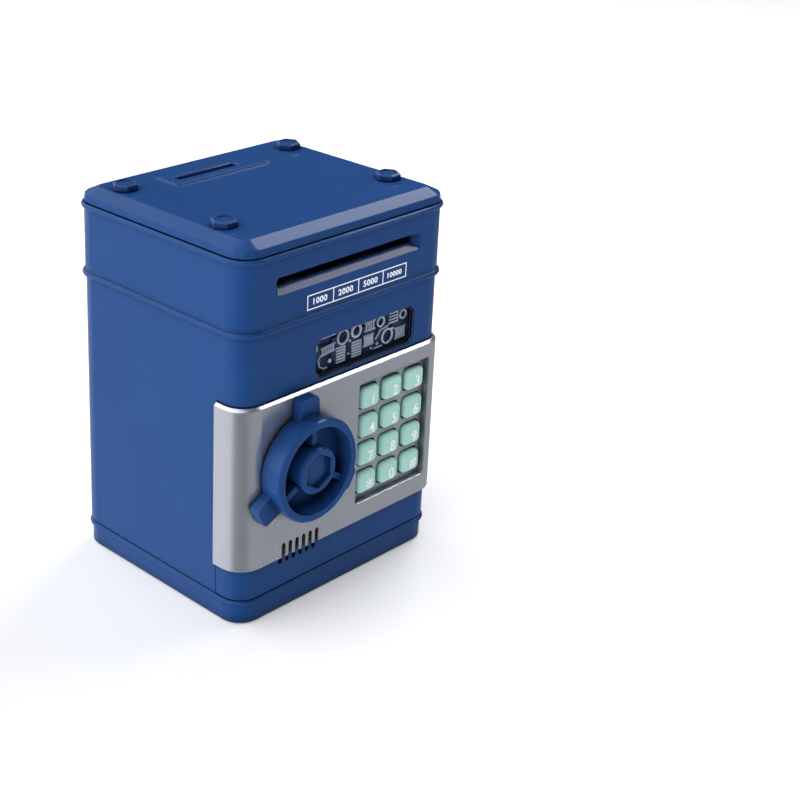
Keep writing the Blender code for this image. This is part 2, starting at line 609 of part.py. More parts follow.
def make_keypad(mats):
    bed = prism("keypad_bed", rounded(PAD_HALF_X - GAP, PAD_HALF_Z - GAP, 1.3, (PAD_X, PAD_Z), 3),
                BED_FRONT, BED_BACK - 0.9, "Y")
    join(bed, prism("flange", rounded(PAD_HALF_X + 0.6, PAD_HALF_Z + 2.0, 1.5, (PAD_X, PAD_Z), 3),
                    -LOW_D + WALL + GAP, BED_BACK, "Y"))
    for label, x, z in key_places():
        hole = prism("hole", rounded(KEY_W / 2 + KEY_CLEAR, KEY_H / 2 + KEY_CLEAR, 2.2, (x, z), 2),
                     BED_FRONT - 2, BED_BACK + 2, "Y")
        cut(bed, hole)
    finish(bed, mats["silver"], pivot=(HINGE_X, HINGE_Y, Z_DOOR))
    for label, x, z in key_places():
        key = loft(f"key_{label}", [
            [(a, SKIRT_FRONT, b) for a, b in rounded(KEY_W / 2, KEY_H / 2, 2.0, (x, z), 2)],
            [(a, KEY_FACE + 0.9, b) for a, b in rounded(KEY_W / 2, KEY_H / 2, 2.0, (x, z), 2)],
            [(a, KEY_FACE + 0.25, b) for a, b in rounded(KEY_W / 2 - 0.3, KEY_H / 2 - 0.3, 1.8, (x, z),
                                                         2)],
            [(a, KEY_FACE, b) for a, b in rounded(KEY_W / 2 - 1.0, KEY_H / 2 - 1.0, 1.3, (x, z), 2)]])
        join(key, prism("skirt", rounded(KEY_W / 2 + 0.9, KEY_H / 2 + 0.9, 1.0, (x, z), 1),
                        SKIRT_FRONT, SKIRT_FRONT + SKIRT_T, "Y"))
        finish(key, mats["mint"], pivot=(x, KEY_FACE, z))
    sheet = prism("keypad_membrane", rounded(PAD_HALF_X + 1.0, PAD_HALF_Z + 1.0, 2.0, (PAD_X, PAD_Z), 2),
                  SHEET_FRONT, SHEET_FRONT + 0.9, "Y")
    for label, x, z in key_places():
        join(sheet, turned("dome", [(3.6, SHEET_FRONT + 0.3), (3.2, DOME_FRONT + 0.2), (2.4, DOME_FRONT)],
                           (x, z), "Y", 10))
    finish(sheet, mats["rubber"], pivot=(HINGE_X, HINGE_Y, Z_DOOR))
    board = prism("keypad_board", rounded(PAD_HALF_X + 1.5, PAD_HALF_Z + 1.5, 1.0, (PAD_X, PAD_Z), 1),
                  BOARD_FRONT, BOARD_FRONT + BOARD_T, "Y")
    finish(board, mats["board"], pivot=(HINGE_X, HINGE_Y, Z_DOOR))


def make_door_inside(mats):
    front = COVER_BACK_Y - COVER_T
    low, high = Z_DOOR + 1.5, Z_DOOR_TOP - 1.5
    left, right = -LOW_W + WALL + 0.6, HINGE_X - HINGE_R - 0.8
    middle = (left + right) / 2
    cover = prism("door_inner_cover",
                  rounded((right - left) / 2, (high - low) / 2, 1.0, (middle, (low + high) / 2), 1),
                  front, COVER_BACK_Y, "Y")
    cut(cover, rod("spindle_hole", SPINDLE_R + 0.8, (KNOB_X, KNOB_Z), front - 1, COVER_BACK_Y + 1, "Y",
                   20))
    cut(cover, rod("plunger_hole", 2.4, (PLUNGER_X, PLUNGER_Z), front - 1, COVER_BACK_Y + 1, "Y", 16))
    finish(cover, mats["blue"], pivot=(HINGE_X, HINGE_Y, Z_DOOR))
    inside = -LOW_D + WALL + GAP
    speaker = turned("speaker", [(SPEAKER_R, inside), (SPEAKER_R, inside + 1.4),
                                 (SPEAKER_R - 1.2, inside + 2.2),
                                 (SPEAKER_R * 0.55, inside + 4.0), (SPEAKER_R * 0.55, inside + 6.5)],
                     (GRILLE_X, Z_DOOR + 16.5), "Y", 28)
    finish(speaker, mats["black"], pivot=(HINGE_X, HINGE_Y, Z_DOOR))
    coil = box("lock_solenoid", (PLUNGER_X - 6, inside + 0.5, PLUNGER_Z - 5),
               (PLUNGER_X + 6, front - GAP, PLUNGER_Z + 5))
    cut(coil, rod("core", 1.8 + FIT, (PLUNGER_X, PLUNGER_Z), front - 8.5, front + 1, "Y", 16))
    finish(coil, mats["steel"], pivot=(HINGE_X, HINGE_Y, Z_DOOR))
    plunger = rod("lock_plunger", 1.8, (PLUNGER_X, PLUNGER_Z), front - 8.2, COVER_BACK_Y - 0.1, "Y", 16)
    finish(plunger, mats["steel"], pivot=(PLUNGER_X, COVER_BACK_Y, PLUNGER_Z))


def make_knob(mats):
    centre = (KNOB_X, KNOB_Z)
    knob = turned("safe_knob", [(KNOB_R - 0.6, KNOB_BACK_Y), (KNOB_R, KNOB_BACK_Y - 0.6),
                                (KNOB_R, KNOB_FRONT_Y + 0.9),
                                (KNOB_R - 0.8, KNOB_FRONT_Y)], centre, "Y", 48)
    cut(knob, rod("dish", KNOB_R - KNOB_WALL, centre, KNOB_FRONT_Y - 1, KNOB_BACK_Y - KNOB_FLOOR, "Y",
                  48))
    inner = HUB_R + GAP + 0.3
    for angle in LUG_ANGLES:
        along_lug = Vector((math.cos(angle), math.sin(angle)))
        across = Vector((-along_lug.y, along_lug.x))
        spoke = [along_lug * r + across * s for r, s in (
            (inner, SPOKE_W / 2), (inner, -SPOKE_W / 2),
            (KNOB_R - 1.2, -SPOKE_W / 2), (KNOB_R - 1.2, SPOKE_W / 2))]
        spoke = [(centre[0] + p.x, centre[1] + p.y) for p in spoke]
        lug = [along_lug * r + across * s for r, s in (
            (KNOB_R - 2.0, LUG_W / 2), (KNOB_R - 2.0, -LUG_W / 2), (KNOB_R + LUG_OUT - 1.2,
                                                                    -LUG_W / 2 + 0.9),
            (KNOB_R + LUG_OUT, -LUG_W / 2 + 2.1), (KNOB_R + LUG_OUT, LUG_W / 2 - 2.1),
            (KNOB_R + LUG_OUT - 1.2, LUG_W / 2 - 0.9))]
        lug = [(centre[0] + p.x, centre[1] + p.y) for p in lug]
        join(knob, prism("spoke", spoke, KNOB_FRONT_Y + 3.2, KNOB_BACK_Y - 1.0, "Y"),
             prism("lug", lug, KNOB_BACK_Y - LUG_DEPTH, KNOB_BACK_Y, "Y"))
    cut(knob, rod("bore", SPINDLE_R + FIT, centre, KNOB_BACK_Y - KNOB_FLOOR - 2, KNOB_BACK_Y + 1, "Y",
                  20))
    finish(knob, mats["blue"], pivot=(KNOB_X, KNOB_BACK_Y, KNOB_Z))
    seat = KNOB_BACK_Y - KNOB_FLOOR - GAP
    cap = turned("knob_hub_cap", [(HUB_R, seat), (HUB_R, KNOB_FRONT_Y + 0.8),
                                  (HUB_R - 0.8, KNOB_FRONT_Y)],
                 centre, "Y", 36)
    cut(cap, prism("hexagon", circle(HEX_R, centre, 6, math.radians(30)), KNOB_FRONT_Y - 1,
                   KNOB_FRONT_Y + HEX_DEEP, "Y"))
    finish(cap, mats["blue"], pivot=(KNOB_X, KNOB_BACK_Y, KNOB_Z))
    spindle = turned("knob_spindle", [(SPINDLE_R, seat + 2 * GAP), (SPINDLE_R, LEVER_FRONT - GAP - 0.6),
                                      (SPINDLE_R, LEVER_FRONT + LEVER_T + 0.2)], centre, "Y", 20)
    cut(spindle, rod("tap", 1.0 + FIT, centre, LEVER_FRONT - 5, LEVER_FRONT + LEVER_T + 1, "Y", 12))
    finish(spindle, mats["white"], pivot=(KNOB_X, KNOB_BACK_Y, KNOB_Z))
    lever = rod("latch_lever", 7.0, centre, LEVER_FRONT, LEVER_FRONT + LEVER_T, "Y", 28)
    arm = rounded(LEVER_W / 2, (LEVER_REACH + 2) / 2, 2.5, (KNOB_X, KNOB_Z + (LEVER_REACH - 2) / 2), 3)
    join(lever, prism("arm", arm, LEVER_FRONT, LEVER_FRONT + LEVER_T, "Y"))
    cut(lever, rod("bore", SPINDLE_R + FIT, centre, LEVER_FRONT - 1, LEVER_FRONT + LEVER_T + 1, "Y", 20))
    finish(lever, mats["steel"], pivot=(KNOB_X, KNOB_BACK_Y, KNOB_Z))
    end = LEVER_FRONT + LEVER_T + 0.2 + GAP
    screw = turned("spindle_screw", [(0.6, end - 5.0), (1.0, end - 4.4), (1.0, end), (4.6, end),
                                     (4.6, end + 0.9),
                                     (3.4, end + 1.6)], centre, "Y", 16)
    finish(screw, mats["steel"], pivot=(KNOB_X, KNOB_BACK_Y, KNOB_Z))


def make_hinge_pins(mats):
    lower = rod("hinge_pin_lower", PIN_R, (HINGE_X, HINGE_Y), PLINTH_HEIGHT - PIN_GRIP + GAP,
                Z_DOOR + PIN_GRIP - GAP, "Z", 16)
    finish(lower, mats["steel"])
    upper = rod("hinge_pin_upper", PIN_R, (HINGE_X, HINGE_Y), Z_DOOR_TOP - PIN_GRIP + GAP,
                Z_DOOR_TOP + PIN_GRIP - GAP, "Z", 16)
    finish(upper, mats["steel"])


# ---------------------------------------------------------------- upper housing and lid
def make_housing(mats):
    top = Z_HOUSING + HOUSING_HEIGHT
    half = (HALF_W, HALF_D)
    tube = stack("upper_housing", [
        *bead_ring(half, Z_HOUSING, Z_HOUSING + BEAD_HEIGHT), (HALF_W, HALF_D,
                                                               Z_HOUSING + BEAD_HEIGHT + 0.2),
        (HALF_W, HALF_D, top - BEAD_HEIGHT - 0.2), *bead_ring(half, top - BEAD_HEIGHT,
                                                              top)], CORNER + BEAD)
    hollow = stack("hollow", [(HALF_W - WALL, HALF_D - WALL, Z_HOUSING - 1),
                              (HALF_W - WALL, HALF_D - WALL, top + 1)],
                   CORNER - WALL)
    cut(tube, hollow)
    block = box("block", (-FUNNEL_W / 2 - 2, -HALF_D + WALL - 0.5, SLOT_Z - FUNNEL_LOW - 2.2),
                (FUNNEL_W / 2 + 2, -HALF_D + FUNNEL_DEPTH + 1.8, SLOT_Z + FUNNEL_HIGH + 2.2))
    join(tube, block)
    for x, y in post_places():
        join(tube, rod("post", 3.2, (x, y), DECK_TOP + GAP, top, "Z", 16))
        join(tube, box("web", (min(x, x * 1.06), y - 0.8, DECK_TOP + GAP),
                       (max(x, x * 1.06), y + 0.8, top)))
    front = -HALF_D
    mouth = loft("mouth", [
        [(x, front - 1.0, z) for x,
         z in rounded(FUNNEL_W / 2 + 0.6, (FUNNEL_LOW + FUNNEL_HIGH) / 2 + 0.9, 2.0,
                                                 (0, SLOT_Z + (FUNNEL_HIGH - FUNNEL_LOW) / 2), 3)],
        [(x, front + FUNNEL_DEPTH, z) for x, z in rounded(SLOT_W / 2, SLOT_H / 2, 0.8, (0, SLOT_Z), 3)]])
    cut(tube, mouth)
    cut(tube, prism("slot", rounded(SLOT_W / 2, SLOT_H / 2, 0.8, (0, SLOT_Z), 3),
                    front + FUNNEL_DEPTH - 0.5, front + FUNNEL_DEPTH + 6, "Y"))
    for x, y in post_places():
        cut(tube, rod("screw_hole", 1.1, (x, y), top - 9, top + 1, "Z", 12))
    finish(tube, mats["blue"])


def post_places():
    return [(side * (HALF_W - WALL - 4.4), end * (HALF_D - WALL - 4.4)) for side in (-1,
                                                                                     1) for end in (-1,
                                                                                                    1)]


def make_lid(mats):
    rim = Z_LID + LID_RIM
    sections = []
    for inset, height in ((0.3, Z_LID), (0.0, Z_LID + 0.3), (LID_DRAFT, rim - 0.3),
                          (LID_DRAFT + 0.4, rim),
                          (LID_BEVEL, Z_TOP)):
        sections.append((HALF_W - inset, HALF_D - inset, height))
    lid = stack("top_lid", sections, CORNER, 4)
    under = stack("under", [(HALF_W - WALL, HALF_D - WALL, Z_LID - 1),
                            (HALF_W - WALL, HALF_D - WALL, rim - 1.2),
                            (HALF_W - WALL - LID_BEVEL * 0.8, HALF_D - WALL - LID_BEVEL * 0.8,
                             Z_TOP - LID_SHEET)],
                  CORNER - WALL, 4)
    cut(lid, under)
    for x, y in bolt_places():
        cut(lid, rod("bolt_hole", BOLT_SHANK_R + FIT, (x, y), Z_LID - 1, Z_TOP + 1, "Z", 16))
    raised = Z_TOP + COIN_PAD_TALL
    join(lid, loft("pad", [
        [(x, y, height) for x, y in rounded(COIN_PAD_W / 2 - inset, COIN_PAD_D / 2 - inset, 1.6,
                                            (COIN_PAD_X, COIN_Y), 2)]
        for inset, height in ((0.0, Z_TOP - 0.5), (0.0, Z_TOP), (1.1, raised))]))
    cut(lid, prism("coin_slot", rounded(COIN_W / 2, COIN_GAP / 2, 0.8, (COIN_X, COIN_Y), 2), Z_LID - 1,
                   raised + 1))
    cut(lid, loft("lead_in", [
        [(x, y, height) for x, y in rounded(COIN_W / 2 + grow, COIN_GAP / 2 + grow, 0.9,
                                            (COIN_X, COIN_Y), 2)]
        for grow, height in ((0.0, raised - COIN_CHAMFER), (COIN_CHAMFER + 0.5, raised + 0.5))]))
    finish(lid, mats["blue"], smooth=25.0)


def bolt_places():
    return [(side * BOLT_X, y) for y in (-HALF_D + BOLT_FRONT, HALF_D - BOLT_REAR) for side in (-1, 1)]


def make_bolts(mats):
    words = ("front_left", "front_right", "rear_left", "rear_right")
    corner = BOLT_FLAT / 2 / math.cos(math.radians(30))
    for word, (x, y) in zip(words, bolt_places()):
        low = Z_TOP + GAP
        rings = []
        for scale, height in ((1.0, low), (1.0, low + BOLT_TALL - 0.7), (0.86, low + BOLT_TALL)):
            rings.append([(a, b, height) for a, b in circle(corner * scale, (x, y), 6)])
        bolt = loft(f"lid_bolt_{word}", rings)
        join(bolt, rod("shank", BOLT_SHANK_R, (x, y), Z_LID + 0.8, low + 0.5, "Z", 16))
        cut(bolt, rod("dish", BOLT_DISH_R, (x, y), low + BOLT_TALL - BOLT_DISH_DEEP, low + BOLT_TALL + 1,
                      "Z", 18))
        finish(bolt, mats["blue"], smooth=20.0)


# ---------------------------------------------------------------- feeder in the upper housing
def make_deck(mats):
    deck = prism("mechanism_deck", rounded(HALF_W - WALL - GAP, HALF_D - WALL - GAP, CORNER - WALL),
                 DECK_Z, DECK_TOP)
    bill_gap = box("bill_gap", (-GUIDE_HALF, BEND_Y + BEND_R - CHANNEL / 2 - 0.4, DECK_Z - 1),
                   (GUIDE_HALF, BEND_Y + BEND_R + CHANNEL / 2 + 0.4, DECK_TOP + 1))
    coin_gap = prism("coin_gap", rounded(COIN_W / 2 + 1.8 + GAP, COIN_GAP / 2 + 1.8 + GAP, 1.0,
                                         (COIN_X, COIN_Y), 2),
                     DECK_Z - 1, DECK_TOP + 1)
    cut(deck, bill_gap, coin_gap)
    cradle = MOTOR_Y + MOTOR_D / 2 + GAP
    join(deck, box("cradle", (MOTOR_X0 + 3, cradle, DECK_TOP - 0.5),
                   (MOTOR_X0 + 20, cradle + 1.5, DECK_TOP + 8)))
    finish(deck, mats["black"])


def make_guide(mats):
    low_z = DECK_TOP + GAP
    high_z = IDLER_Z + 3.2
    front = -HALF_D + FUNNEL_DEPTH + 1.8 + GAP
    half = CHANNEL / 2

    def strip(radius_in, radius_out):
        """Flat run, quarter bend and drop, between two distances from the bend's centre."""
        turns = [math.radians(90 - 15 * i) for i in range(7)]
        outer = [(BEND_Y + radius_out * math.cos(t), BEND_Z + radius_out * math.sin(t)) for t in turns]
        inner = [(BEND_Y + radius_in * math.cos(t),
                  BEND_Z + radius_in * math.sin(t)) for t in reversed(turns)]
        return ([(front, BEND_Z + radius_out), *outer, (BEND_Y + radius_out, low_z),
                 (BEND_Y + radius_in, low_z),
                 *inner, (front, BEND_Z + radius_in)])

    guide = prism("bill_guide", strip(BEND_R - half - 1.4, BEND_R - half), -GUIDE_HALF - 0.5,
                  GUIDE_HALF + 0.5, "X")
    join(guide, prism("roof", strip(BEND_R + half, BEND_R + half + 1.4), -GUIDE_HALF - 0.5,
                      GUIDE_HALF + 0.5, "X"))
    side = [(front, low_z), (GUIDE_BACK, low_z), (GUIDE_BACK, SLOT_Z), (ROLLER_Y + 5, high_z),
            (front + 3, high_z),
            (front, SLOT_Z + 3)]
    for sign in (-1, 1):
        low, high = sorted((sign * GUIDE_HALF, sign * (GUIDE_HALF + GUIDE_WALL)))
        join(guide, prism("cheek", side, low, high, "X"))
    for sign in (-1, 1):
        x = sign * ROLLER_X
        cut(guide, box("window", (x - ROLLER_W / 2 - 0.8, ROLLER_Y - ROLLER_R - 0.8, SLOT_Z - half - 9),
                       (x + ROLLER_W / 2 + 0.8, ROLLER_Y + ROLLER_R + 0.8, SLOT_Z + half + 6)))
    reach = GUIDE_HALF + GUIDE_WALL + 1
    cut(guide, box("shaft_way", (-GUIDE_HALF + 0.01, ROLLER_Y - 2.6, ROLLER_Z - 2.6),
                   (GUIDE_HALF - 0.01, ROLLER_Y + 2.6, ROLLER_Z + 2.6)))
    cut(guide, rod("shaft_hole", SHAFT_R + FIT, (ROLLER_Y, ROLLER_Z), -reach, reach, "X", 16),
        rod("idler_hole", SHAFT_R + FIT, (ROLLER_Y, IDLER_Z), -reach, reach, "X", 16),
        rod("lay_hole", 1.2 + FIT, (LAY_Y, LAY_Z), GUIDE_HALF - 0.3, reach, "X", 16))
    finish(guide, mats["white"])


def make_rollers(mats):
    reach = GUIDE_HALF + GUIDE_WALL
    shaft = rod("drive_shaft", SHAFT_R, (ROLLER_Y, ROLLER_Z), -reach - 2, GEAR_X + GEAR_T + 0.6, "X", 16)
    finish(shaft, mats["steel"], pivot=(0, ROLLER_Y, ROLLER_Z))
    idler = rod("idler_roller", SHAFT_R, (ROLLER_Y, IDLER_Z), -reach - 2, reach + 1.2, "X", 16)
    for word, sign in (("left", -1), ("right", 1)):
        x = sign * ROLLER_X
        tyre = roller(f"drive_roller_{word}", ROLLER_R, x, ROLLER_Z)
        cut(tyre, rod("bore", SHAFT_R + 0.1, (ROLLER_Y, ROLLER_Z), x - ROLLER_W, x + ROLLER_W, "X", 16))
        finish(tyre, mats["rubber"], pivot=(0, ROLLER_Y, ROLLER_Z))
        join(idler, roller("wheel", IDLER_R, x, IDLER_Z))
    finish(idler, mats["white"], pivot=(0, ROLLER_Y, IDLER_Z))


def roller(name, radius, x, z):
    """A roller across the bill path, with slightly rounded rims."""
    return turned(name, [(radius - 0.5, x - ROLLER_W / 2), (radius, x - ROLLER_W / 2 + 0.5),
                         (radius, x + ROLLER_W / 2 - 0.5), (radius - 0.5, x + ROLLER_W / 2)], (ROLLER_Y,
                                                                                               z), "X", 24)


def make_gears(mats):
    half_tooth = math.pi
    end = GEAR_X + GEAR_T
    roller_gear = gear("roller_gear", TEETH_ROLLER, GEAR_X, end, (ROLLER_Y, ROLLER_Z), LAY_ANGLE)
    cut(roller_gear, rod("bore", SHAFT_R + 0.1, (ROLLER_Y, ROLLER_Z), GEAR_X - 1, end + 1, "X", 16))
    finish(roller_gear, mats["white"], pivot=(0, ROLLER_Y, ROLLER_Z), smooth=20)
    small_phase = LAY_ANGLE + math.pi + half_tooth / TEETH_SMALL
    lay = gear("reduction_gear", TEETH_SMALL, GEAR_X - 0.2, end + 1.0, (LAY_Y, LAY_Z), small_phase)
    large = gear("large", TEETH_LARGE, end + 0.6, end + 0.6 + GEAR_T, (LAY_Y, LAY_Z), MOTOR_ANGLE)
    join(lay, large)
    cut(lay, rod("bore", 1.2 + FIT, (LAY_Y, LAY_Z), GEAR_X - 2, end + 6, "X", 16))
    finish(lay, mats["white"], pivot=(0, LAY_Y, LAY_Z), smooth=20)
    axle = rod("gear_axle", 1.2, (LAY_Y, LAY_Z), GUIDE_HALF + 0.2, end + 0.6 + GEAR_T + 0.8, "X", 16)
    finish(axle, mats["steel"])
    phase = MOTOR_ANGLE + math.pi + half_tooth / TEETH_MOTOR
    pinion = gear("motor_pinion", TEETH_MOTOR, end + 0.6, end + 0.6 + GEAR_T + 0.4, (MOTOR_Y, MOTOR_Z),
                  phase)
    join(pinion, rod("shaft", 1.0, (MOTOR_Y, MOTOR_Z), MOTOR_X1 - 3.0, end + 0.6 + GEAR_T + 0.8, "X", 12))
    finish(pinion, mats["brass"], pivot=(0, MOTOR_Y, MOTOR_Z), smooth=20)


def make_motor(mats):
    can = prism("feed_motor", rounded(MOTOR_D / 2 - 0.2, MOTOR_H / 2 - 0.2, 4.5, (MOTOR_Y, MOTOR_Z), 4),
                MOTOR_X0, MOTOR_X1, "X")
    nose = rod("nose", 3.0, (MOTOR_Y, MOTOR_Z), MOTOR_X1 - 1, MOTOR_X1 + 1.4, "X", 20)
    join(can, nose)
    cut(can, rod("bore", 1.0 + FIT, (MOTOR_Y, MOTOR_Z), MOTOR_X1 - 4, MOTOR_X1 + 3, "X", 12))
    finish(can, mats["steel"])


def make_chute(mats):
    top = Z_LID - 0.2
    low = DECK_Z - 1.5
    chute = loft("coin_chute", [
        [(x, y, low) for x, y in rounded(COIN_W / 2 + 1.8, COIN_GAP / 2 + 1.8, 0.8, (COIN_X, COIN_Y), 2)],
        [(x, y, top - 3) for x, y in rounded(COIN_W / 2 + 1.8, COIN_GAP / 2 + 1.8, 0.8, (COIN_X, COIN_Y),
                                             2)],
        [(x, y, top) for x, y in rounded(COIN_W / 2 + 3.6, COIN_GAP / 2 + 3.6, 0.8, (COIN_X, COIN_Y),
                                         2)]])
    join(chute, prism("collar", rounded(COIN_W / 2 + 4.5, COIN_GAP / 2 + 4.5, 1.0, (COIN_X, COIN_Y), 2),
                      DECK_TOP + GAP, DECK_TOP + GAP + 1.6))
    cut(chute, loft("inside", [
        [(x, y, low - 1) for x, y in rounded(COIN_W / 2 + 0.5, COIN_GAP / 2 + 0.5, 0.5, (COIN_X, COIN_Y),
                                             2)],
        [(x, y, top - 3) for x, y in rounded(COIN_W / 2 + 0.5, COIN_GAP / 2 + 0.5, 0.5, (COIN_X, COIN_Y),
                                             2)],
        [(x, y, top + 0.5) for x, y in rounded(COIN_W / 2 + 2.6, COIN_GAP / 2 + 2.6, 0.5,
                                               (COIN_X, COIN_Y), 2)]]))
    finish(chute, mats["white"])


def make_board(mats):
    left = -HALF_W + WALL + 8.0
    board = box("control_board", (left, MOTOR_Y - 4, DECK_TOP + 3.5),
                (left + 46, MOTOR_Y + 26, DECK_TOP + 3.5 + BOARD_T))
    for x in (left + 3, left + 43):
        for y in (MOTOR_Y - 1, MOTOR_Y + 23):
            join(board, rod("standoff", 1.8, (x, y), DECK_TOP + GAP, DECK_TOP + 4.0, "Z", 10))
    join(board, box("chip", (left + 14, MOTOR_Y + 4, DECK_TOP + 4.5),
                    (left + 28, MOTOR_Y + 16, DECK_TOP + 3.5 + BOARD_T + 1.4)))
    finish(board, mats["board"])


def main():
    for obj in list(bpy.data.objects):
        bpy.data.objects.remove(obj, do_unlink=True)
    mats = make_materials()
    make_base(mats)
    make_battery(mats)
    make_casing(mats)
    make_window(mats)
    make_door_shell(mats)
    make_faceplate(mats)
    make_keypad(mats)
    make_door_inside(mats)
    make_knob(mats)
    make_hinge_pins(mats)
    make_housing(mats)
    make_lid(mats)
    make_bolts(mats)
    make_deck(mats)
    make_guide(mats)
    make_rollers(mats)
    make_gears(mats)
    make_motor(mats)
    make_chute(mats)
    make_board(mats)
    for obj in bpy.data.objects:
        obj.location.y += MID_SHIFT * MM


main()
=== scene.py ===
"""Toy cash-machine money box: the finished look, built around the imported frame."""

import math

import bmesh
import bpy
from bpy.props import FloatProperty, FloatVectorProperty, PointerProperty
from mathutils import Matrix, Vector


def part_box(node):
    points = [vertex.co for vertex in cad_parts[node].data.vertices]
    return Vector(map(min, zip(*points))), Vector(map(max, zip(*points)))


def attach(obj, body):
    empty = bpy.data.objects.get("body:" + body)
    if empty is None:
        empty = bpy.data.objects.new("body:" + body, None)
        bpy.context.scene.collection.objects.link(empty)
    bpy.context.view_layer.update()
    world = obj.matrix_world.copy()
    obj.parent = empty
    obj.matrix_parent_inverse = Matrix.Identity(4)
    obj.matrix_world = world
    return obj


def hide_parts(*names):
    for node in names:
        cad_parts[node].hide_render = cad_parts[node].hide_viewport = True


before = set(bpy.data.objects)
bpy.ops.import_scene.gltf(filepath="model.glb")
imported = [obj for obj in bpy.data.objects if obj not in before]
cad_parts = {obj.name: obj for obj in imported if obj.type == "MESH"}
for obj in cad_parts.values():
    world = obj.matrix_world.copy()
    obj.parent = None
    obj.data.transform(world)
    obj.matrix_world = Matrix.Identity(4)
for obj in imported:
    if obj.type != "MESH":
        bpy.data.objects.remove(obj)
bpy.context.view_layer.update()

bl_info = {
    "name": "Toy Cash Machine Money Box",
    "version": (1, 0, 0),
    "blender": (4, 5, 0),
    "location": "View3D > Sidebar > Money Box",
    "description": "Builds the finished look of a toy cash-machine money box around its frame",
    "category": "Object",
}

MM = 0.001
KEY_MARKS = {"1": "1", "2": "2", "3": "3", "4": "4", "5": "5", "6": "6", "7": "7", "8": "8", "9": "9",
             "star": "*", "0": "0", "hash": "#"}
AMOUNTS = ("1000", "2000", "5000", "10000")
CORNER_STEPS = 6            # straight pieces in a quarter turn
SMOOTH_PIECE = math.radians(32)     # edges that turn less are shaded smoothly, on pieces made here
SMOOTH_NODE = math.radians(20)      # the same, on carried frame nodes
SQUARE_ON = 0.9999          # how squarely a face looks along an axis to count as a flat
JOIN = 0.005 * MM           # corners closer than this are one

# directions in the room, seen from the money box
BRIGHT_WAY = (-0.78, 0.50, 0.38)
DARK_WAY = (-0.66, -0.66, -0.36)
LEFT_WAY = (-0.7, 0.7, 0.0)

# the two softboxes, in metres: where each hangs and how long its side is
TOP_SOFTBOX = (0.85, 0.25, 1.00)
TOP_SOFTBOX_SIDE = 0.6
EDGE_SOFTBOX = (0.75, -0.38, 0.83)
EDGE_SOFTBOX_SIDE = 0.3
BOX_MIDDLE = (0.0, 0.0, 0.09)       # what both are aimed at

# widths of the circuit relief's strips, in millimetres
STRIP = 0.7
TOOTH = 0.56
POST = 0.49
TRACK = 0.55


# ---------------------------------------------------------------- values a user would change
class BankColours(bpy.types.PropertyGroup):
    """Colours of the money box's finishes, in linear light."""

    blue: FloatVectorProperty(
        name="Blue Plastic", description="Moulded body, knob and lid",
        subtype="COLOR", default=(0.015, 0.068, 0.236), min=0.0, max=1.0)
    silver: FloatVectorProperty(
        name="Silver Plating", description="Plated door face and keypad bed",
        subtype="COLOR", default=(0.64, 0.67, 0.74), min=0.0, max=1.0)
    mint: FloatVectorProperty(
        name="Mint Keys", description="Moulded key caps",
        subtype="COLOR", default=(0.50, 0.86, 0.77), min=0.0, max=1.0)
    print_white: FloatVectorProperty(
        name="White Print", description="Amounts under the bill slot",
        subtype="COLOR", default=(0.92, 0.94, 0.97), min=0.0, max=1.0)
    foil: FloatVectorProperty(
        name="Circuit Card", description="Dark card behind the window",
        subtype="COLOR", default=(0.022, 0.040, 0.105), min=0.0, max=1.0)
    floor: FloatVectorProperty(
        name="Floor", description="Pale studio floor",
        subtype="COLOR", default=(0.96, 0.96, 0.97), min=0.0, max=1.0)


class BankSizes(bpy.types.PropertyGroup):
    """Sizes of the details that the finished look adds."""

    soft_edge: FloatProperty(
        name="Soft Edge", description="Radius that moulded edges are rounded to",
        default=0.6 * MM, min=0.0, unit="LENGTH")
    print_height: FloatProperty(
        name="Print Box Height", description="Height of an amount's printed frame",
        default=6.9 * MM, min=0.001, unit="LENGTH")
    print_width: FloatProperty(
        name="Print Box Width", description="Width of an amount's printed frame",
        default=15.7 * MM, min=0.001, unit="LENGTH")
    print_line: FloatProperty(
        name="Print Line", description="Thickness of the printed frame lines",
        default=0.5 * MM, min=0.0001, unit="LENGTH")
    print_left: FloatProperty(
        name="Print Left Edge", description="Left end of the amounts from the middle",
        default=26.8 * MM, min=0.0, unit="LENGTH")
    print_drop: FloatProperty(
        name="Print Height Above Seam", description="Bottom of the amounts above the housing's lower edge",
        default=4.6 * MM, min=0.0, unit="LENGTH")
    amount_figure: FloatProperty(
        name="Amount Figure", description="Height of the figures of a short amount",
        default=2.75 * MM, min=0.001, unit="LENGTH")
    long_figure: FloatProperty(
        name="Long Amount Figure", description="Height of the figures of a five-figure amount",
        default=2.35 * MM, min=0.001, unit="LENGTH")
    ink: FloatProperty(
        name="Ink Thickness", description="How far print stands off the plastic",
        default=0.05 * MM, min=0.00001, unit="LENGTH")
    key_width: FloatProperty(
        name="Key Width", description="Width of a key cap's domed part",
        default=11.6 * MM, min=0.001, unit="LENGTH")
    key_height: FloatProperty(
        name="Key Height", description="Height of a key cap's domed part",
        default=10.4 * MM, min=0.001, unit="LENGTH")
    key_corner: FloatProperty(
        name="Key Corner", description="Corner radius of a key cap",
        default=2.4 * MM, min=0.0, unit="LENGTH")
    key_skirt: FloatProperty(
        name="Key Skirt", description="Thickness of the flange that keeps a key in",
        default=1.0 * MM, min=0.0001, unit="LENGTH")
    key_figure: FloatProperty(
        name="Key Figure", description="Height of a key's printed figure",
        default=5.2 * MM, min=0.001, unit="LENGTH")
    relief: FloatProperty(
        name="Relief", description="Thickness of the silver relief on the circuit card",
        default=0.5 * MM, min=0.0001, unit="LENGTH")


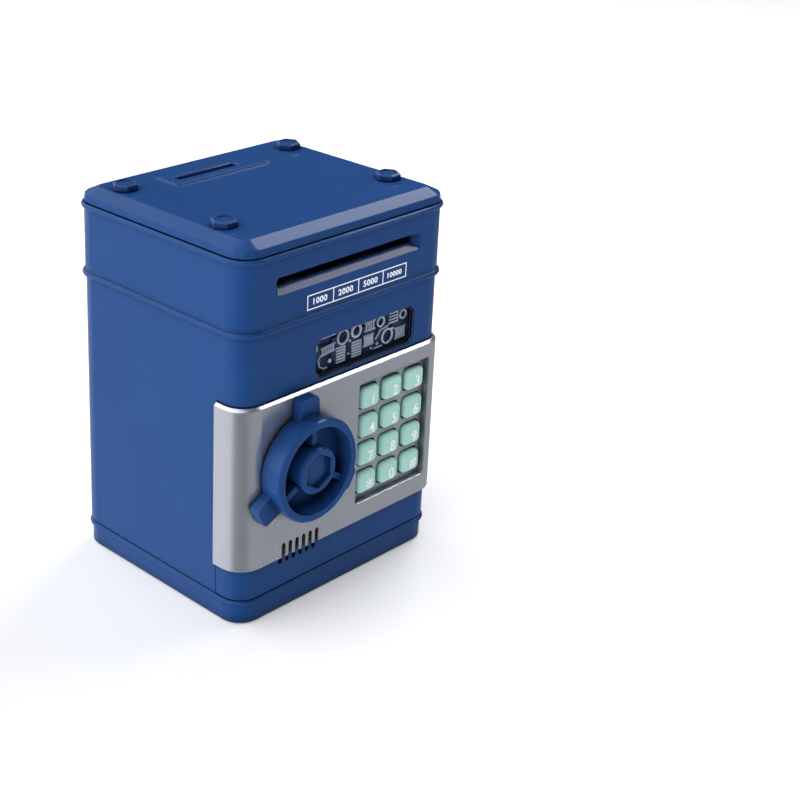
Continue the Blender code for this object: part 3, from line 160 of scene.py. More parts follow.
class BankStudio(bpy.types.PropertyGroup):
    """The floor, the lights and the camera."""

    camera_place: FloatVectorProperty(
        name="Camera Place", description="Where the camera stands",
        subtype="TRANSLATION", default=(-0.47705, -0.48802, 0.39681))
    camera_turn: FloatVectorProperty(
        name="Camera Turn", description="Which way the camera looks",
        subtype="EULER", default=tuple(math.radians(turn) for turn in (68.997, -1.249, -44.206)))
    lens: FloatProperty(name="Lens", description="Focal length in millimetres", default=72.2, min=10.0)
    shift: FloatVectorProperty(
        name="Shift", description="Lens shift, as shares of the frame",
        size=2, default=(0.15, -0.15))
    top_light: FloatProperty(
        name="Top Softbox", description="Power of the overhead softbox",
        default=6.0, min=0.0, unit="POWER")
    edge_light: FloatProperty(
        name="Edge Softbox", description="Power of the small softbox that glints on top edges",
        default=2.4, min=0.0, unit="POWER")
    glow_right: FloatProperty(
        name="Floor Glow Right", description="Brightness that glossy fronts mirror from the floor",
        default=0.34, min=0.0)
    glow_left: FloatProperty(
        name="Floor Glow Left", description="Brightness that glossy sides mirror from the floor",
        default=0.75, min=0.0)
    room_low: FloatProperty(
        name="Room Dim Side", description="Room light from the front right",
        default=0.06, min=0.0)
    room_high: FloatProperty(
        name="Room Bright Side", description="Room light from the upper left",
        default=1.85, min=0.0)
    floor_size: FloatProperty(
        name="Floor Size", description="Side of the floor",
        default=9.0, min=1.0, unit="LENGTH")


# ---------------------------------------------------------------- shader maths
class Wire:
    """A node's output that Python's operators work on; each operation adds its Math node."""

    def __init__(self, nodes, socket):
        self.nodes = nodes
        self.socket = socket

    def __add__(self, other):
        return self.nodes.maths("ADD", self, other)

    def __radd__(self, other):
        return self.nodes.maths("ADD", other, self)

    def __rsub__(self, other):
        return self.nodes.maths("SUBTRACT", other, self)

    def __sub__(self, other):
        return self.nodes.maths("SUBTRACT", self, other)

    def __mul__(self, other):
        return self.nodes.maths("MULTIPLY", self, other)

    def __pow__(self, other):
        return self.nodes.maths("POWER", self, other)


class Nodes:
    """A node tree, filled by short calls."""

    def __init__(self, tree):
        self.tree = tree
        tree.nodes.clear()

    def node(self, kind, settings, sockets, output=0):
        """Add a node: its settings first, then its sockets' values or links; the answer is one output."""
        made = self.tree.nodes.new(kind)
        for name, value in settings.items():
            setattr(made, name, value)
        for name, value in sockets.items():
            if isinstance(value, Wire):
                self.tree.links.new(value.socket, made.inputs[name])
            else:
                made.inputs[name].default_value = value
        return Wire(self, made.outputs[output]) if len(made.outputs) else None

    def maths(self, operation, first, second):
        return self.node("ShaderNodeMath", {"operation": operation}, {0: first, 1: second})

    def dot(self, first, second):
        return self.node(
            "ShaderNodeVectorMath", {"operation": "DOT_PRODUCT"}, {0: first, 1: second}, "Value")

    def split(self, vector):
        """The three parts of a vector."""
        first = self.node("ShaderNodeSeparateXYZ", {}, {"Vector": vector})
        return [Wire(self, socket) for socket in first.socket.node.outputs]

    def graded(self, value, start, end, low, high, kind="SMOOTHSTEP"):
        """Carry a value's range from start to end over to the range from low to high."""
        return self.node("ShaderNodeMapRange", {"interpolation_type": kind}, {
            "Value": value, "From Min": start, "From Max": end, "To Min": low, "To Max": high}, "Result")


class Finish(Nodes):
    """One material."""

    def __init__(self, name):
        self.material = bpy.data.materials.new(name)
        self.material.use_nodes = True
        super().__init__(self.material.node_tree)

    def clamped(self, value):
        return self.node("ShaderNodeMath", {"operation": "ADD", "use_clamp": True}, {0: value, 1: 0.0})

    def place(self):
        return self.node("ShaderNodeTexCoord", {}, {}, "Object")

    def stretched(self, scale):
        return self.node("ShaderNodeVectorMath", {"operation": "MULTIPLY"}, {0: self.place(), 1: scale})

    def grain(self, scale, detail=3.0, rough=0.5, vector=None):
        """Noise from 0 to 1, scale in lumps per metre."""
        return self.node("ShaderNodeTexNoise", {}, {
            "Vector": vector or self.place(), "Scale": scale, "Detail": detail, "Roughness": rough})

    def blend(self, factor, first, second):
        """Mix two colours."""
        made = self.tree.nodes.new("ShaderNodeMix")
        made.data_type = "RGBA"
        for name, value in (("Factor_Float", factor), ("A_Color", first), ("B_Color", second)):
            socket = next(s for s in made.inputs if s.identifier == name)
            if isinstance(value, Wire):
                self.tree.links.new(value.socket, socket)
            else:
                socket.default_value = value
        return Wire(self, next(s for s in made.outputs if s.identifier == "Result_Color"))

    def rounded_normal(self, radius):
        return self.node("ShaderNodeBevel", {"samples": 6}, {"Radius": radius}, "Normal")

    def rub(self, radius, strength):
        """A mask that is 1 on edges and 0 on flats."""
        flat = self.node("ShaderNodeNewGeometry", {}, {}, "Normal")
        soft = self.rounded_normal(radius)
        return self.clamped((1.0 - self.dot(flat, soft)) * strength)

    def crevice_shade(self, reach):
        """A painted-shade mask, from ambient occlusion: 1 deep in slots and corners, where shade falls, and
        0 in the open.
        """
        open_air = self.node("ShaderNodeAmbientOcclusion", {"samples": 6}, {"Distance": reach}, "AO")
        return self.clamped((1.0 - open_air) * 1.45 - 0.12)

    def bump(self, height, distance, strength=1.0, normal=None):
        sockets = {"Height": height, "Distance": distance, "Strength": strength}
        if normal is not None:
            sockets["Normal"] = normal
        return self.node("ShaderNodeBump", {}, sockets)

    def surface(self, sockets):
        """The Principled shader with these sockets, wired to the output."""
        self.out(self.node("ShaderNodeBsdfPrincipled", {}, sockets))

    def out(self, shader):
        self.node("ShaderNodeOutputMaterial", {}, {"Surface": shader})


def shade(colour, amount):
    """A colour made lighter or darker, with full alpha."""
    return tuple(min(1.0, c * amount) for c in colour[:3]) + (1.0,)


# ---------------------------------------------------------------- finishes
def moulded(name, colour, gloss, soft_edge, speckle=1.0, shine=0.12, wear=0.35, painted_shade=5.0 * MM, coat=0.0):
    """Injection-moulded plastic: faint flow marks, fine orange peel, paler edges that are partly rubbed wear
    and partly a painted highlight, and painted shade in crevices.
    """
    made = Finish(name)
    flow = made.grain(22.0, 3.0, 0.55)
    fine = made.grain(900.0, 2.0, 0.5)
    scuff = made.grain(260.0, 5.0, 0.65)
    edge = made.rub(soft_edge * 1.3, 2.4) * (0.45 + scuff * 0.8)
    base = made.blend(flow, shade(colour, 0.90), shade(colour, 1.10))
    base = made.blend(fine * 0.04 * speckle, base, shade(colour, 1.3))
    # Paler edges: partly rubbed wear, partly a painted highlight like the bright lines that light draws
    # along beads and rims.
    base = made.blend(edge * wear, base, tuple(1.9 * c + 0.03 for c in colour[:3]) + (1.0,))
    # Painted shade: darker deep in slots, gaps and corners, where shade falls.
    base = made.blend(made.crevice_shade(painted_shade) * 0.95, base, shade(colour, 0.08))
    rough = gloss + scuff * 0.10 - flow * 0.04
    normal = made.bump(fine * 0.5 + flow * 4.0, 0.000008 * speckle, 0.6, made.rounded_normal(soft_edge))
    made.surface({"Base Color": base, "Roughness": rough, "IOR": 1.50, "Specular IOR Level": shine,
                  "Coat Weight": coat, "Coat Roughness": 0.06, "Normal": normal})
    return made.material


def plated(name, colour, gloss, soft_edge, mirror=0.8, painted_shade=0.9):
    """Vacuum-plated plastic: soft metallic sheen with fine upright streaks and a faint haze, edges painted
    paler as a highlight, and painted shade in crevices.
    """
    made = Finish(name)
    streak = made.grain(60.0, 4.0, 0.6, made.stretched((9.0, 9.0, 0.8)))
    haze = made.grain(30.0, 3.0, 0.5)
    pits = made.grain(2200.0, 2.0, 0.5)
    edge = made.rub(soft_edge * 1.5, 2.0)
    base = made.blend(streak * 0.5 + haze * 0.3, shade(colour, 0.93), shade(colour, 1.07))
    # Painted highlight: edges painted paler.
    base = made.blend(edge * 0.5, base, shade(colour, 1.30))
    # Painted shade: darker deep in slots and corners, where shade falls.
    base = made.blend(made.crevice_shade(4.0 * MM) * painted_shade, base, shade(colour, 0.10))
    rough = gloss + haze * 0.08 + pits * 0.03 - edge * 0.08
    normal = made.bump(pits * 0.10 + streak * 0.3, 0.000008, 0.4, made.rounded_normal(soft_edge))
    made.surface({"Base Color": base, "Metallic": mirror, "Roughness": rough, "Normal": normal})
    return made.material


def metal(name, colour, gloss, soft_edge, streaks=(1.0, 1.0, 12.0)):
    """Bare metal with drawn or turned lines and a little dulling."""
    made = Finish(name)
    lines = made.grain(180.0, 4.0, 0.6, made.stretched(streaks))
    dull = made.grain(90.0, 3.0, 0.5)
    edge = made.rub(soft_edge, 2.0)
    base = made.blend(dull, shade(colour, 0.82), shade(colour, 1.08))
    base = made.blend(edge * 0.6, base, shade(colour, 1.35))
    made.surface({"Base Color": base, "Metallic": 1.0, "Roughness": gloss + dull * 0.14 + lines * 0.06,
                  "Normal": made.bump(lines, 0.00002, 0.5, made.rounded_normal(soft_edge))})
    return made.material


def rubber(name, colour, soft_edge):
    """Matt rubber with dust in its grain."""
    made = Finish(name)
    dust = made.grain(420.0, 5.0, 0.7)
    grain = made.grain(2600.0, 2.0, 0.5)
    base = made.blend(dust * 0.4, shade(colour, 0.9), shade(colour, 1.6))
    made.surface({"Base Color": base, "Roughness": 0.72 + dust * 0.15,
                  "Normal": made.bump(grain, 0.00004, 0.7, made.rounded_normal(soft_edge))})
    return made.material


def circuit_board(name):
    """Green board: solder mask over copper tracks."""
    made = Finish(name)
    tracks = made.node("ShaderNodeTexBrick", {"offset": 0.37, "squash": 1.6}, {
        "Vector": made.place(), "Scale": 190.0, "Mortar Size": 0.035, "Mortar Smooth": 0.2,
        "Color1": (0, 0, 0, 1), "Color2": (0, 0, 0, 1), "Mortar": (1, 1, 1, 1)}, "Fac")
    cloud = made.grain(120.0, 3.0, 0.5)
    base = made.blend(cloud, (0.010, 0.085, 0.030, 1), (0.018, 0.130, 0.050, 1))
    base = made.blend(tracks * 0.7, base, (0.06, 0.26, 0.09, 1))
    made.surface({"Base Color": base, "Roughness": 0.32 + cloud * 0.12,
                  "Normal": made.bump(tracks, 0.00006, 0.6)})
    return made.material


def card(name, colour):
    """Printed card: dark ink with a paper tooth and a faint mottled glint."""
    made = Finish(name)
    tooth = made.grain(1700.0, 4.0, 0.6)
    mottle = made.grain(150.0, 4.0, 0.6)
    base = made.blend(mottle, shade(colour, 0.6), shade(colour, 2.6))
    made.surface({"Base Color": base, "Metallic": 0.25, "Roughness": 0.38 + tooth * 0.15,
                  "Normal": made.bump(tooth + mottle, 0.00003, 0.5)})
    return made.material


def printed(name, colour, glow):
    """Pad-printed ink, thin in places, with a faint painted glow from its emission."""
    made = Finish(name)
    thin = made.grain(900.0, 4.0, 0.6)
    made.surface({"Base Color": made.blend(thin * 0.25, shade(colour, 1.0), shade(colour, 0.72)),
                  "Roughness": 0.42 + thin * 0.15, "Emission Color": shade(colour, 1.0),
                  "Emission Strength": glow, "Normal": made.bump(thin, 0.00001, 0.4)})
    return made.material


def sleeve(name):
    """Shrink-wrapped cell: dark wrapper with a copper-coloured band and bare metal ends."""
    made = Finish(name)
    along = made.node("ShaderNodeSeparateXYZ", {}, {"Vector": made.place()}, "Y")
    low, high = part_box("battery_cell_1")
    length = high.y - low.y
    band = made.maths("GREATER_THAN", along, high.y - 0.3 * length)
    ends = made.node("ShaderNodeMath", {"operation": "COMPARE"}, {
        0: along, 1: (low.y + high.y) / 2, 2: length / 2 - 0.9 * MM})
    wrinkle = made.grain(500.0, 3.0, 0.5)
    base = made.blend(band, (0.020, 0.022, 0.026, 1), (0.50, 0.20, 0.06, 1))
    base = made.blend(ends, (0.62, 0.62, 0.60, 1), base)
    made.surface({"Base Color": base, "Metallic": (1.0 - ends) * 0.9 + band * 0.4,
                  "Roughness": 0.28 + wrinkle * 0.14, "Normal": made.bump(wrinkle, 0.00003, 0.4)})
    return made.material


def window_plastic(name):
    """Clear lens: lets light straight through and keeps a surface glint, with faint haze and a rim painted
    pale as a highlight.
    """
    made = Finish(name)
    haze = made.grain(320.0, 4.0, 0.6)
    normal = made.rounded_normal(0.5 * MM)
    rim = made.rub(0.9 * MM, 3.0)
    # Painted highlight: the rim is painted pale and made less clear.
    body = made.blend(rim, (0.01, 0.012, 0.02, 1), (0.80, 0.84, 0.92, 1))
    gloss = made.node("ShaderNodeBsdfPrincipled", {}, {
        "Base Color": body, "Roughness": 0.06 + haze * 0.05, "IOR": 1.49,
        "Normal": made.bump(haze, 0.00001, 0.3, normal)})
    clear = made.node("ShaderNodeBsdfTransparent", {}, {"Color": (0.94, 0.96, 1.0, 1)})
    facing = made.node("ShaderNodeLayerWeight", {}, {"Blend": 0.5, "Normal": normal}, "Facing")
    share = made.clamped(facing ** 4.0 * 0.5 + haze * 0.02 + rim * 0.45 + 0.03)
    made.out(made.node("ShaderNodeMixShader", {}, {0: share, 1: clear, 2: gloss}))
    return made.material


def floor_paper(name, colour):
    """Pale studio paper."""
    made = Finish(name)
    tooth = made.grain(900.0, 4.0, 0.6)
    made.surface({"Base Color": made.blend(tooth * 0.2, shade(colour, 1.0), shade(colour, 0.96)),
                  "Roughness": 0.6 + tooth * 0.1, "Emission Color": shade(colour, 1.0),
                  "Emission Strength": 0.22, "Normal": made.bump(tooth, 0.00005, 0.2)})
    return made.material


def make_finishes(colours, sizes):
    """All finishes, named after the record's material slots."""
    edge = sizes.soft_edge
    return {
        "blue_plastic": moulded("blue_plastic", colours.blue, 0.17, edge, wear=0.6, painted_shade=8.0 * MM,
                                coat=0.12),
        "silver_plating": plated("silver_plating", colours.silver, 0.20, edge),
        "circuit_foil": card("circuit_foil", colours.foil),
        "relief_foil": plated("relief_foil", (0.88, 0.92, 0.98), 0.30, 0.2 * MM, 0.15, 0.0),
        "mint_plastic": moulded("mint_plastic", colours.mint, 0.34, 0.5 * MM, speckle=0.7, shine=0.3,
                                wear=0.25, painted_shade=1.6 * MM),
        "steel": metal("steel", (0.60, 0.60, 0.62), 0.22, 0.2 * MM),
        "motor_can": metal("motor_can", (0.56, 0.57, 0.58), 0.30, 0.4 * MM, (14.0, 1.0, 1.0)),
        "brass": metal("brass", (0.62, 0.42, 0.14), 0.26, 0.15 * MM),
        "white_plastic": moulded("white_plastic", (0.72, 0.71, 0.67), 0.42, 0.25 * MM, wear=0.1),
        "black_plastic": moulded("black_plastic", (0.022, 0.022, 0.025), 0.40, 0.3 * MM, wear=0.05),
        "grey_rubber": rubber("grey_rubber", (0.06, 0.06, 0.062), 0.4 * MM),
        "board": circuit_board("board"),
        "clear_plastic": window_plastic("clear_plastic"),
        "cell_sleeve": sleeve("cell_sleeve"),
        "white_print": printed("white_print", colours.print_white, 0.22),
        "key_print": printed("key_print", (0.90, 0.98, 0.96), 0.22),
    }


def finish_of(name):
    """A finish by name, made the first time any piece needs one."""
    if "blue_plastic" not in bpy.data.materials or "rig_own" not in bpy.data.materials["blue_plastic"]:
        scene = bpy.context.scene
        for old in list(bpy.data.materials):
            old.name = "packed_" + old.name
        for made in make_finishes(scene.bank_colours, scene.bank_sizes).values():
            made["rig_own"] = True
    return bpy.data.materials[name]


# ---------------------------------------------------------------- shapes
def rounded(half_a, half_b, radius, centre=(0.0, 0.0)):
    """A rectangle with round corners, as a list of points."""
    radius = min(radius, half_a - 1e-6, half_b - 1e-6)
    points = []
    for turn, (sign_a, sign_b) in enumerate(((1, 1), (-1, 1), (-1, -1), (1, -1))):
        for i in range(CORNER_STEPS + 1):
            angle = math.radians(90 * (turn + i / CORNER_STEPS))
            points.append((centre[0] + sign_a * (half_a - radius) + radius * math.cos(angle),
                           centre[1] + sign_b * (half_b - radius) + radius * math.sin(angle)))
    return points


def circle(radius, centre, steps):
    turns = [2 * math.pi * i / steps for i in range(steps)]
    return [(centre[0] + radius * math.cos(t), centre[1] + radius * math.sin(t)) for t in turns]


def on_front(outline, y):
    """An outline drawn on the front, at depth y."""
    return [(x, y, z) for x, z in outline]


def loft(bm, rings):
    """Join rings of equal length into a closed solid."""
    loops = [[bm.verts.new(p) for p in ring] for ring in rings]
    count = len(loops[0])
    for low, high in zip(loops, loops[1:]):
        for i in range(count):
            j = (i + 1) % count
            bm.faces.new((low[i], low[j], high[j], high[i]))
    bm.faces.new(list(reversed(loops[0])))
    bm.faces.new(loops[-1])


def front_slab(bm, outline, back, front, edge=0.0):
    """A plate drawn on the front, between two depths, with its front edge broken by a small slope."""
    rings = [on_front(outline, back), on_front(outline, front + edge)]
    if edge > 0.0:
        middle = Vector((sum(p[0] for p in outline), sum(p[1] for p in outline))) / len(outline)
        inner = []
        for x, z in outline:
            away = Vector((x, z)) - middle
            inner.append(tuple(middle + away * max(0.0, 1 - edge / max(away.length, 1e-9))))
        rings.append(on_front(inner, front))
    loft(bm, rings)


def frame_slab(bm, outer, inner, back, front):
    """A flat frame between two outlines of equal length, drawn on the front between two depths."""
    loops = []
    for outline, y in ((inner, back), (outer, back), (outer, front), (inner, front)):
        loops.append([bm.verts.new(p) for p in on_front(outline, y)])
    count = len(outer)
    for first, second in zip(loops, loops[1:] + loops[:1]):
        for i in range(count):
            j = (i + 1) % count
            bm.faces.new((first[i], first[j], second[j], second[i]))


def ring_slab(bm, centre, outer, inner, back, front):
    """A flat ring drawn on the front."""
    frame_slab(bm, circle(outer, centre, 40), circle(inner, centre, 40), back, front)


def piece(name, bm, body, finish, replaces=()):
    """Turn a bmesh into a piece that rides on a body, with its finish and slot."""
    bmesh.ops.remove_doubles(bm, verts=bm.verts, dist=1e-7)
    bmesh.ops.recalc_face_normals(bm, faces=bm.faces)
    mesh = bpy.data.meshes.new(name)
    bm.to_mesh(mesh)
    bm.free()
    mesh.polygons.foreach_set("use_smooth", [True] * len(mesh.polygons))
    mesh.set_sharp_from_angle(angle=SMOOTH_PIECE)
    made = bpy.data.objects.new(name, mesh)
    bpy.context.scene.collection.objects.link(made)
    made.data.materials.append(finish_of(finish))
    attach(made, body)
    if replaces:
        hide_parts(*replaces)
    return made


def smooth_shading():
    """A modifier's node group that shades round faces smoothly and keeps flats flat."""
    group = bpy.data.node_groups.new("smooth_shading", "GeometryNodeTree")
    group.interface.new_socket("Geometry", in_out="INPUT", socket_type="NodeSocketGeometry")
    group.interface.new_socket("Geometry", in_out="OUTPUT", socket_type="NodeSocketGeometry")
    made = Nodes(group)

    def smooth(geometry, domain, selection=True, value=True):
        return made.node("GeometryNodeSetShadeSmooth", {"domain": domain}, {
            "Geometry": geometry, "Selection": selection, "Shade Smooth": value})

    def above(value, limit):
        return made.node("FunctionNodeCompare", {"operation": "GREATER_THAN"}, {0: value, 1: limit})

    shape = made.node("NodeGroupInput", {}, {})
    shape = made.node("GeometryNodeMergeByDistance", {}, {"Geometry": shape, "Distance": JOIN})
    shape = made.node("GeometryNodeRemoveAttribute", {}, {"Geometry": shape, "Name": "custom_normal"})
    shape = smooth(shape, "FACE")
    turn = made.node("GeometryNodeInputMeshEdgeAngle", {}, {}, "Unsigned Angle")
    shape = smooth(shape, "EDGE", above(turn, SMOOTH_NODE), False)
    facing = made.node("GeometryNodeInputNormal", {}, {})
    x, y, z = made.split(made.node("ShaderNodeVectorMath", {"operation": "ABSOLUTE"}, {0: facing}))
    widest = made.maths("MAXIMUM", made.maths("MAXIMUM", x, y), z)
    shape = smooth(shape, "FACE", above(widest, SQUARE_ON), False)
    made.node("NodeGroupOutput", {}, {0: shape})
    return group


def soften(node):
    """Shade a faceted node's round faces smoothly."""
    group = bpy.data.node_groups.get("smooth_shading") or smooth_shading()
    node.modifiers.new("smooth", "NODES").node_group = group
    normals = node.modifiers.new("flats", "WEIGHTED_NORMAL")
    normals.keep_sharp = True
    normals.weight = 100


def carry(*nodes, finish=None):
    """Give carried frame nodes the finish of their slot, with their curved faces shaded smoothly."""
    for name in nodes:
        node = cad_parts[name]
        slot = node.material_slots[0].material.name.replace("packed_", "").split(".")[0]
        made = finish_of(finish or slot)
        for holder in node.material_slots:
            holder.material = made
        soften(node)


def lettering(bm, text, height, centre, y, ink, heavy=0.0, wide=1.0):
    """Add figures to a bmesh, standing on the front at depth y and centred on a point."""
    curve = bpy.data.curves.new("figures", "FONT")
    curve.body = text
    curve.align_x = "CENTER"
    curve.align_y = "CENTER"
    curve.size = height / 0.72
    curve.offset = heavy
    curve.space_character = 1.1
    curve.extrude = ink / 2
    holder = bpy.data.objects.new("figures", curve)
    bpy.context.scene.collection.objects.link(holder)
    graph = bpy.context.evaluated_depsgraph_get()
    mesh = bpy.data.meshes.new_from_object(holder.evaluated_get(graph))
    spread = [v.co.copy() for v in mesh.vertices]
    middle_x = (min(v.x for v in spread) + max(v.x for v in spread)) / 2
    middle_y = (min(v.y for v in spread) + max(v.y for v in spread)) / 2
    place = Matrix.Translation((centre[0], y, centre[1])) @ Matrix.Rotation(math.radians(90), 4, "X")
    stretch = Matrix.Diagonal((wide, 1.0, 1.0, 1.0))
    mesh.transform(place @ stretch @ Matrix.Translation((-middle_x, -middle_y, 0.0)))
    bm.from_mesh(mesh)
    bpy.data.meshes.remove(mesh)
    bpy.data.objects.remove(holder)
    bpy.data.curves.remove(curve)


# ---------------------------------------------------------------- operators, one for each piece or group
class BANK_OT_shell(bpy.types.Operator):
    """Moulded shell: plinth, casing, housing, lid and its four bolts"""

    bl_idname = "bank.shell"
    bl_label = "Shell"

    def execute(self, context):
        carry("base_plinth", "lower_casing", "upper_housing", "top_lid")
        carry("lid_bolt_front_left", "lid_bolt_front_right", "lid_bolt_rear_left", "lid_bolt_rear_right")
        return {"FINISHED"}


class BANK_OT_amounts(bpy.types.Operator):
    """Printed amounts under the bill slot"""

    bl_idname = "bank.amounts"
    bl_label = "Amounts"

    def execute(self, context):
        sizes = context.scene.bank_sizes
        line = sizes.print_line
        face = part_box("top_lid")[0].y
        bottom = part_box("upper_housing")[0].z + sizes.print_drop
        top = bottom + sizes.print_height
        bm = bmesh.new()
        for i, amount in enumerate(AMOUNTS):
            left = i * sizes.print_width - sizes.print_left
            right = left + sizes.print_width
            bars = [(left, bottom, left + line, top), (left, bottom, right, bottom + line),
                    (left, top - line, right, top)]
            if i == len(AMOUNTS) - 1:
                bars.append((right - line, bottom, right, top))
            for x0, z0, x1, z1 in bars:
                outline = [(x0, z0), (x1, z0), (x1, z1), (x0, z1)]
                front_slab(bm, outline, face + 0.02 * MM, face - sizes.ink)
            height = sizes.amount_figure if len(amount) < 5 else sizes.long_figure
            middle = ((left + right) / 2, (bottom + top) / 2)
            lettering(bm, amount, height, middle, face - sizes.ink / 2, sizes.ink, 0.11 * MM, 1.12)
        piece("amount_print", bm, "casing", "white_print")
        return {"FINISHED"}


class BANK_OT_door(bpy.types.Operator):
    """Door: shell, plated face, inner cover, speaker and hinge pins"""

    bl_idname = "bank.door"
    bl_label = "Door"

    def execute(self, context):
        carry("door_shell", "door_faceplate", "door_inner_cover", "speaker")
        carry("hinge_pin_lower", "hinge_pin_upper")
        return {"FINISHED"}


class BANK_OT_keypad(bpy.types.Operator):
    """Keypad: bed, membrane, board and twelve domed keys with figures"""

    bl_idname = "bank.keypad"
    bl_label = "Keypad"

    def execute(self, context):
        sizes = context.scene.bank_sizes
        carry("keypad_bed", "keypad_membrane", "keypad_board")
        self.surround()
        for word, figure in KEY_MARKS.items():
            self.key(sizes, "key_" + word, figure)
        return {"FINISHED"}

    @staticmethod
    def surround():
        """The plated walls of the keypad's recess."""
        low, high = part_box("keypad_bed")
        middle = ((low.x + high.x) / 2, (low.z + high.z) / 2)
        half_x = (high.x - low.x) / 2 - 0.6 * MM
        half_z = (high.z - low.z) / 2 - 2.0 * MM
        plate_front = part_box("door_faceplate")[0].y
        bm = bmesh.new()
        outer = rounded(half_x - 0.02 * MM, half_z - 0.02 * MM, 1.5 * MM, middle)
        inner = rounded(half_x - 0.27 * MM, half_z - 0.27 * MM, 1.3 * MM, middle)
        frame_slab(bm, outer, inner, low.y + 0.6 * MM, plate_front + 0.15 * MM)
        piece("keypad_surround", bm, "door", "silver_plating")

    @staticmethod
    def key(sizes, node, figure):
        """One domed key with its flange, and its printed figure."""
        word = node.removeprefix("key_")
        low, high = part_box(node)
        centre = ((low.x + high.x) / 2, (low.z + high.z) / 2)
        half_x, half_z = sizes.key_width / 2, sizes.key_height / 2
        corner = sizes.key_corner
        face, skirt = low.y, high.y - sizes.key_skirt
        rings = []
        for inset, depth in ((0.0, skirt - face), (0.0, 1.5 * MM), (0.12 * MM, 0.9 * MM),
                             (0.45 * MM, 0.38 * MM), (1.0 * MM, 0.1 * MM), (1.8 * MM, 0.0)):
            outline = rounded(half_x - inset, half_z - inset, corner - inset * 0.6, centre)
            rings.append(on_front(outline, face + depth))
        bm = bmesh.new()
        loft(bm, rings)
        flange = rounded((high.x - low.x) / 2, (high.z - low.z) / 2, corner, centre)
        front_slab(bm, flange, high.y, skirt)
        piece("cap_" + word, bm, node + "_body", "mint_plastic", (node,))
        bm = bmesh.new()
        height = sizes.key_figure * (1.5 if figure == "*" else 1.0)
        spot = (centre[0] + 1.4 * MM, centre[1] - 1.3 * MM)
        lettering(bm, figure, height, spot, face - sizes.ink / 2, sizes.ink, 0.06 * MM)
        piece("figure_" + word, bm, node + "_body", "key_print")


class BANK_OT_knob(bpy.types.Operator):
    """Three-lug safe knob with its hub cap, spindle, lever and screw"""

    bl_idname = "bank.knob"
    bl_label = "Knob"

    def execute(self, context):
        carry("safe_knob", "knob_hub_cap", "knob_spindle", "latch_lever", "spindle_screw", "latch_strike",
              "lock_plunger", "lock_solenoid")
        return {"FINISHED"}


class BANK_OT_window(bpy.types.Operator):
    """Window: clear lens over a dark card with a silver circuit relief"""

    bl_idname = "bank.window"
    bl_label = "Window"

    def execute(self, context):
        sizes = context.scene.bank_sizes
        carry("window_lens", "circuit_panel")
        low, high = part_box("circuit_panel")
        middle = ((low.x + high.x) / 2, (low.z + high.z) / 2)
        back = low.y + 0.05 * MM
        front = low.y - sizes.relief
        bm = bmesh.new()

        def at(x, z):
            return (middle[0] + x * MM, middle[1] + z * MM)

        def bar(x0, z0, x1, z1, width=STRIP):
            """A rail between two points."""
            start, end = Vector(at(x0, z0)), Vector(at(x1, z1))
            along = (end - start).normalized()
            across = Vector((-along.y, along.x)) * width * MM / 2
            along = along * width * MM / 2
            start, end = start - along, end + along
            outline = [start - across, end - across, end + across, start + across]
            front_slab(bm, [tuple(p) for p in outline], back, front, 0.12 * MM)

        def comb(x0, x1, z0, z1, teeth, slope=0.0):
            """Upright teeth between two rails, on a slope."""
            bar(x0, z1, x1, z1 + slope)
            bar(x0, z0, x1, z0 + slope)
            for i in range(teeth):
                t = (i + 0.5) / teeth
                x = x0 + (x1 - x0) * t
                bar(x, z0 + slope * t, x, z1 + slope * t, TOOTH)

        def ladder(x0, x1, z0, z1, rungs):
            """Rungs on one rail, at its right."""
            for i in range(rungs):
                z = z0 + (z1 - z0) * i / (rungs - 1)
                bar(x0, z, x1, z)
            bar(x1, z0, x1, z1, POST)

        def ring(x, z, outer, width=0.8):
            ring_slab(bm, at(x, z), outer * MM, (outer - width) * MM, back, front)

        comb(-24.6, -16.4, -1.2, 2.0, 5, 0.7)
        ladder(-14.8, -9.7, -7.4, -0.6, 6)
        ladder(-4.9, 0.6, -7.4, -0.6, 6)
        ring(-11.2, 4.0, 3.7, 0.8)
        ring(-2.6, 4.6, 3.4, 1.2)
        comb(2.7, 8.7, -4.6, 0.2, 6)
        comb(3.2, 9.4, 2.6, 6.6, 4)
        ring(18.1, -3.6, 3.8, 0.9)
        ring(13.4, 4.6, 2.6, 0.8)
        ladder(19.4, 24.8, 2.2, 6.8, 4)
        comb(23.6, 30.2, -6.6, -1.6, 5)
        ring(28.4, 4.4, 2.4, 0.8)
        for track in (((-25.2, -1.2), (-26.6, -3.0), (-25.6, -6.4), (-22.8, -7.8)),
                      ((-16.0, 7.0), (-27.6, 7.0), (-27.6, 2.0)), ((9.6, -7.4), (14.6, -7.4)),
                      ((10.4, -3.0), (13.4, 0.6), (18.4, 1.4)), ((-8.4, 7.6), (-5.0, 7.8))):
            for start, end in zip(track, track[1:]):
                bar(*start, *end, TRACK)
        for x, z, radius in ((-19.2, -5.1, 1.0), (-22.8, -8.0, 0.6), (-21.4, -7.8, 0.5), (7.6, -6.7, 0.6),
                             (-7.2, -5.2, 0.5), (11.6, -5.6, 0.7), (21.4, -0.8, 0.7), (-6.6, 1.0, 0.6)):
            front_slab(bm, circle(radius * MM, at(x, z), 20), back, front, 0.15 * MM)
        piece("circuit_relief", bm, "casing", "relief_foil")
        return {"FINISHED"}


class BANK_OT_feeder(bpy.types.Operator):
    """Bill feeder: guide, rollers, gears, motor, deck, control board and coin chute"""

    bl_idname = "bank.feeder"
    bl_label = "Feeder"

    def execute(self, context):
        carry("bill_guide", finish="black_plastic")
        carry("drive_roller_left", "drive_roller_right", "drive_shaft", "idler_roller", "roller_gear",
              "reduction_gear", "gear_axle", "motor_pinion", "feed_motor", "mechanism_deck", "control_board",
              "coin_chute")
        return {"FINISHED"}


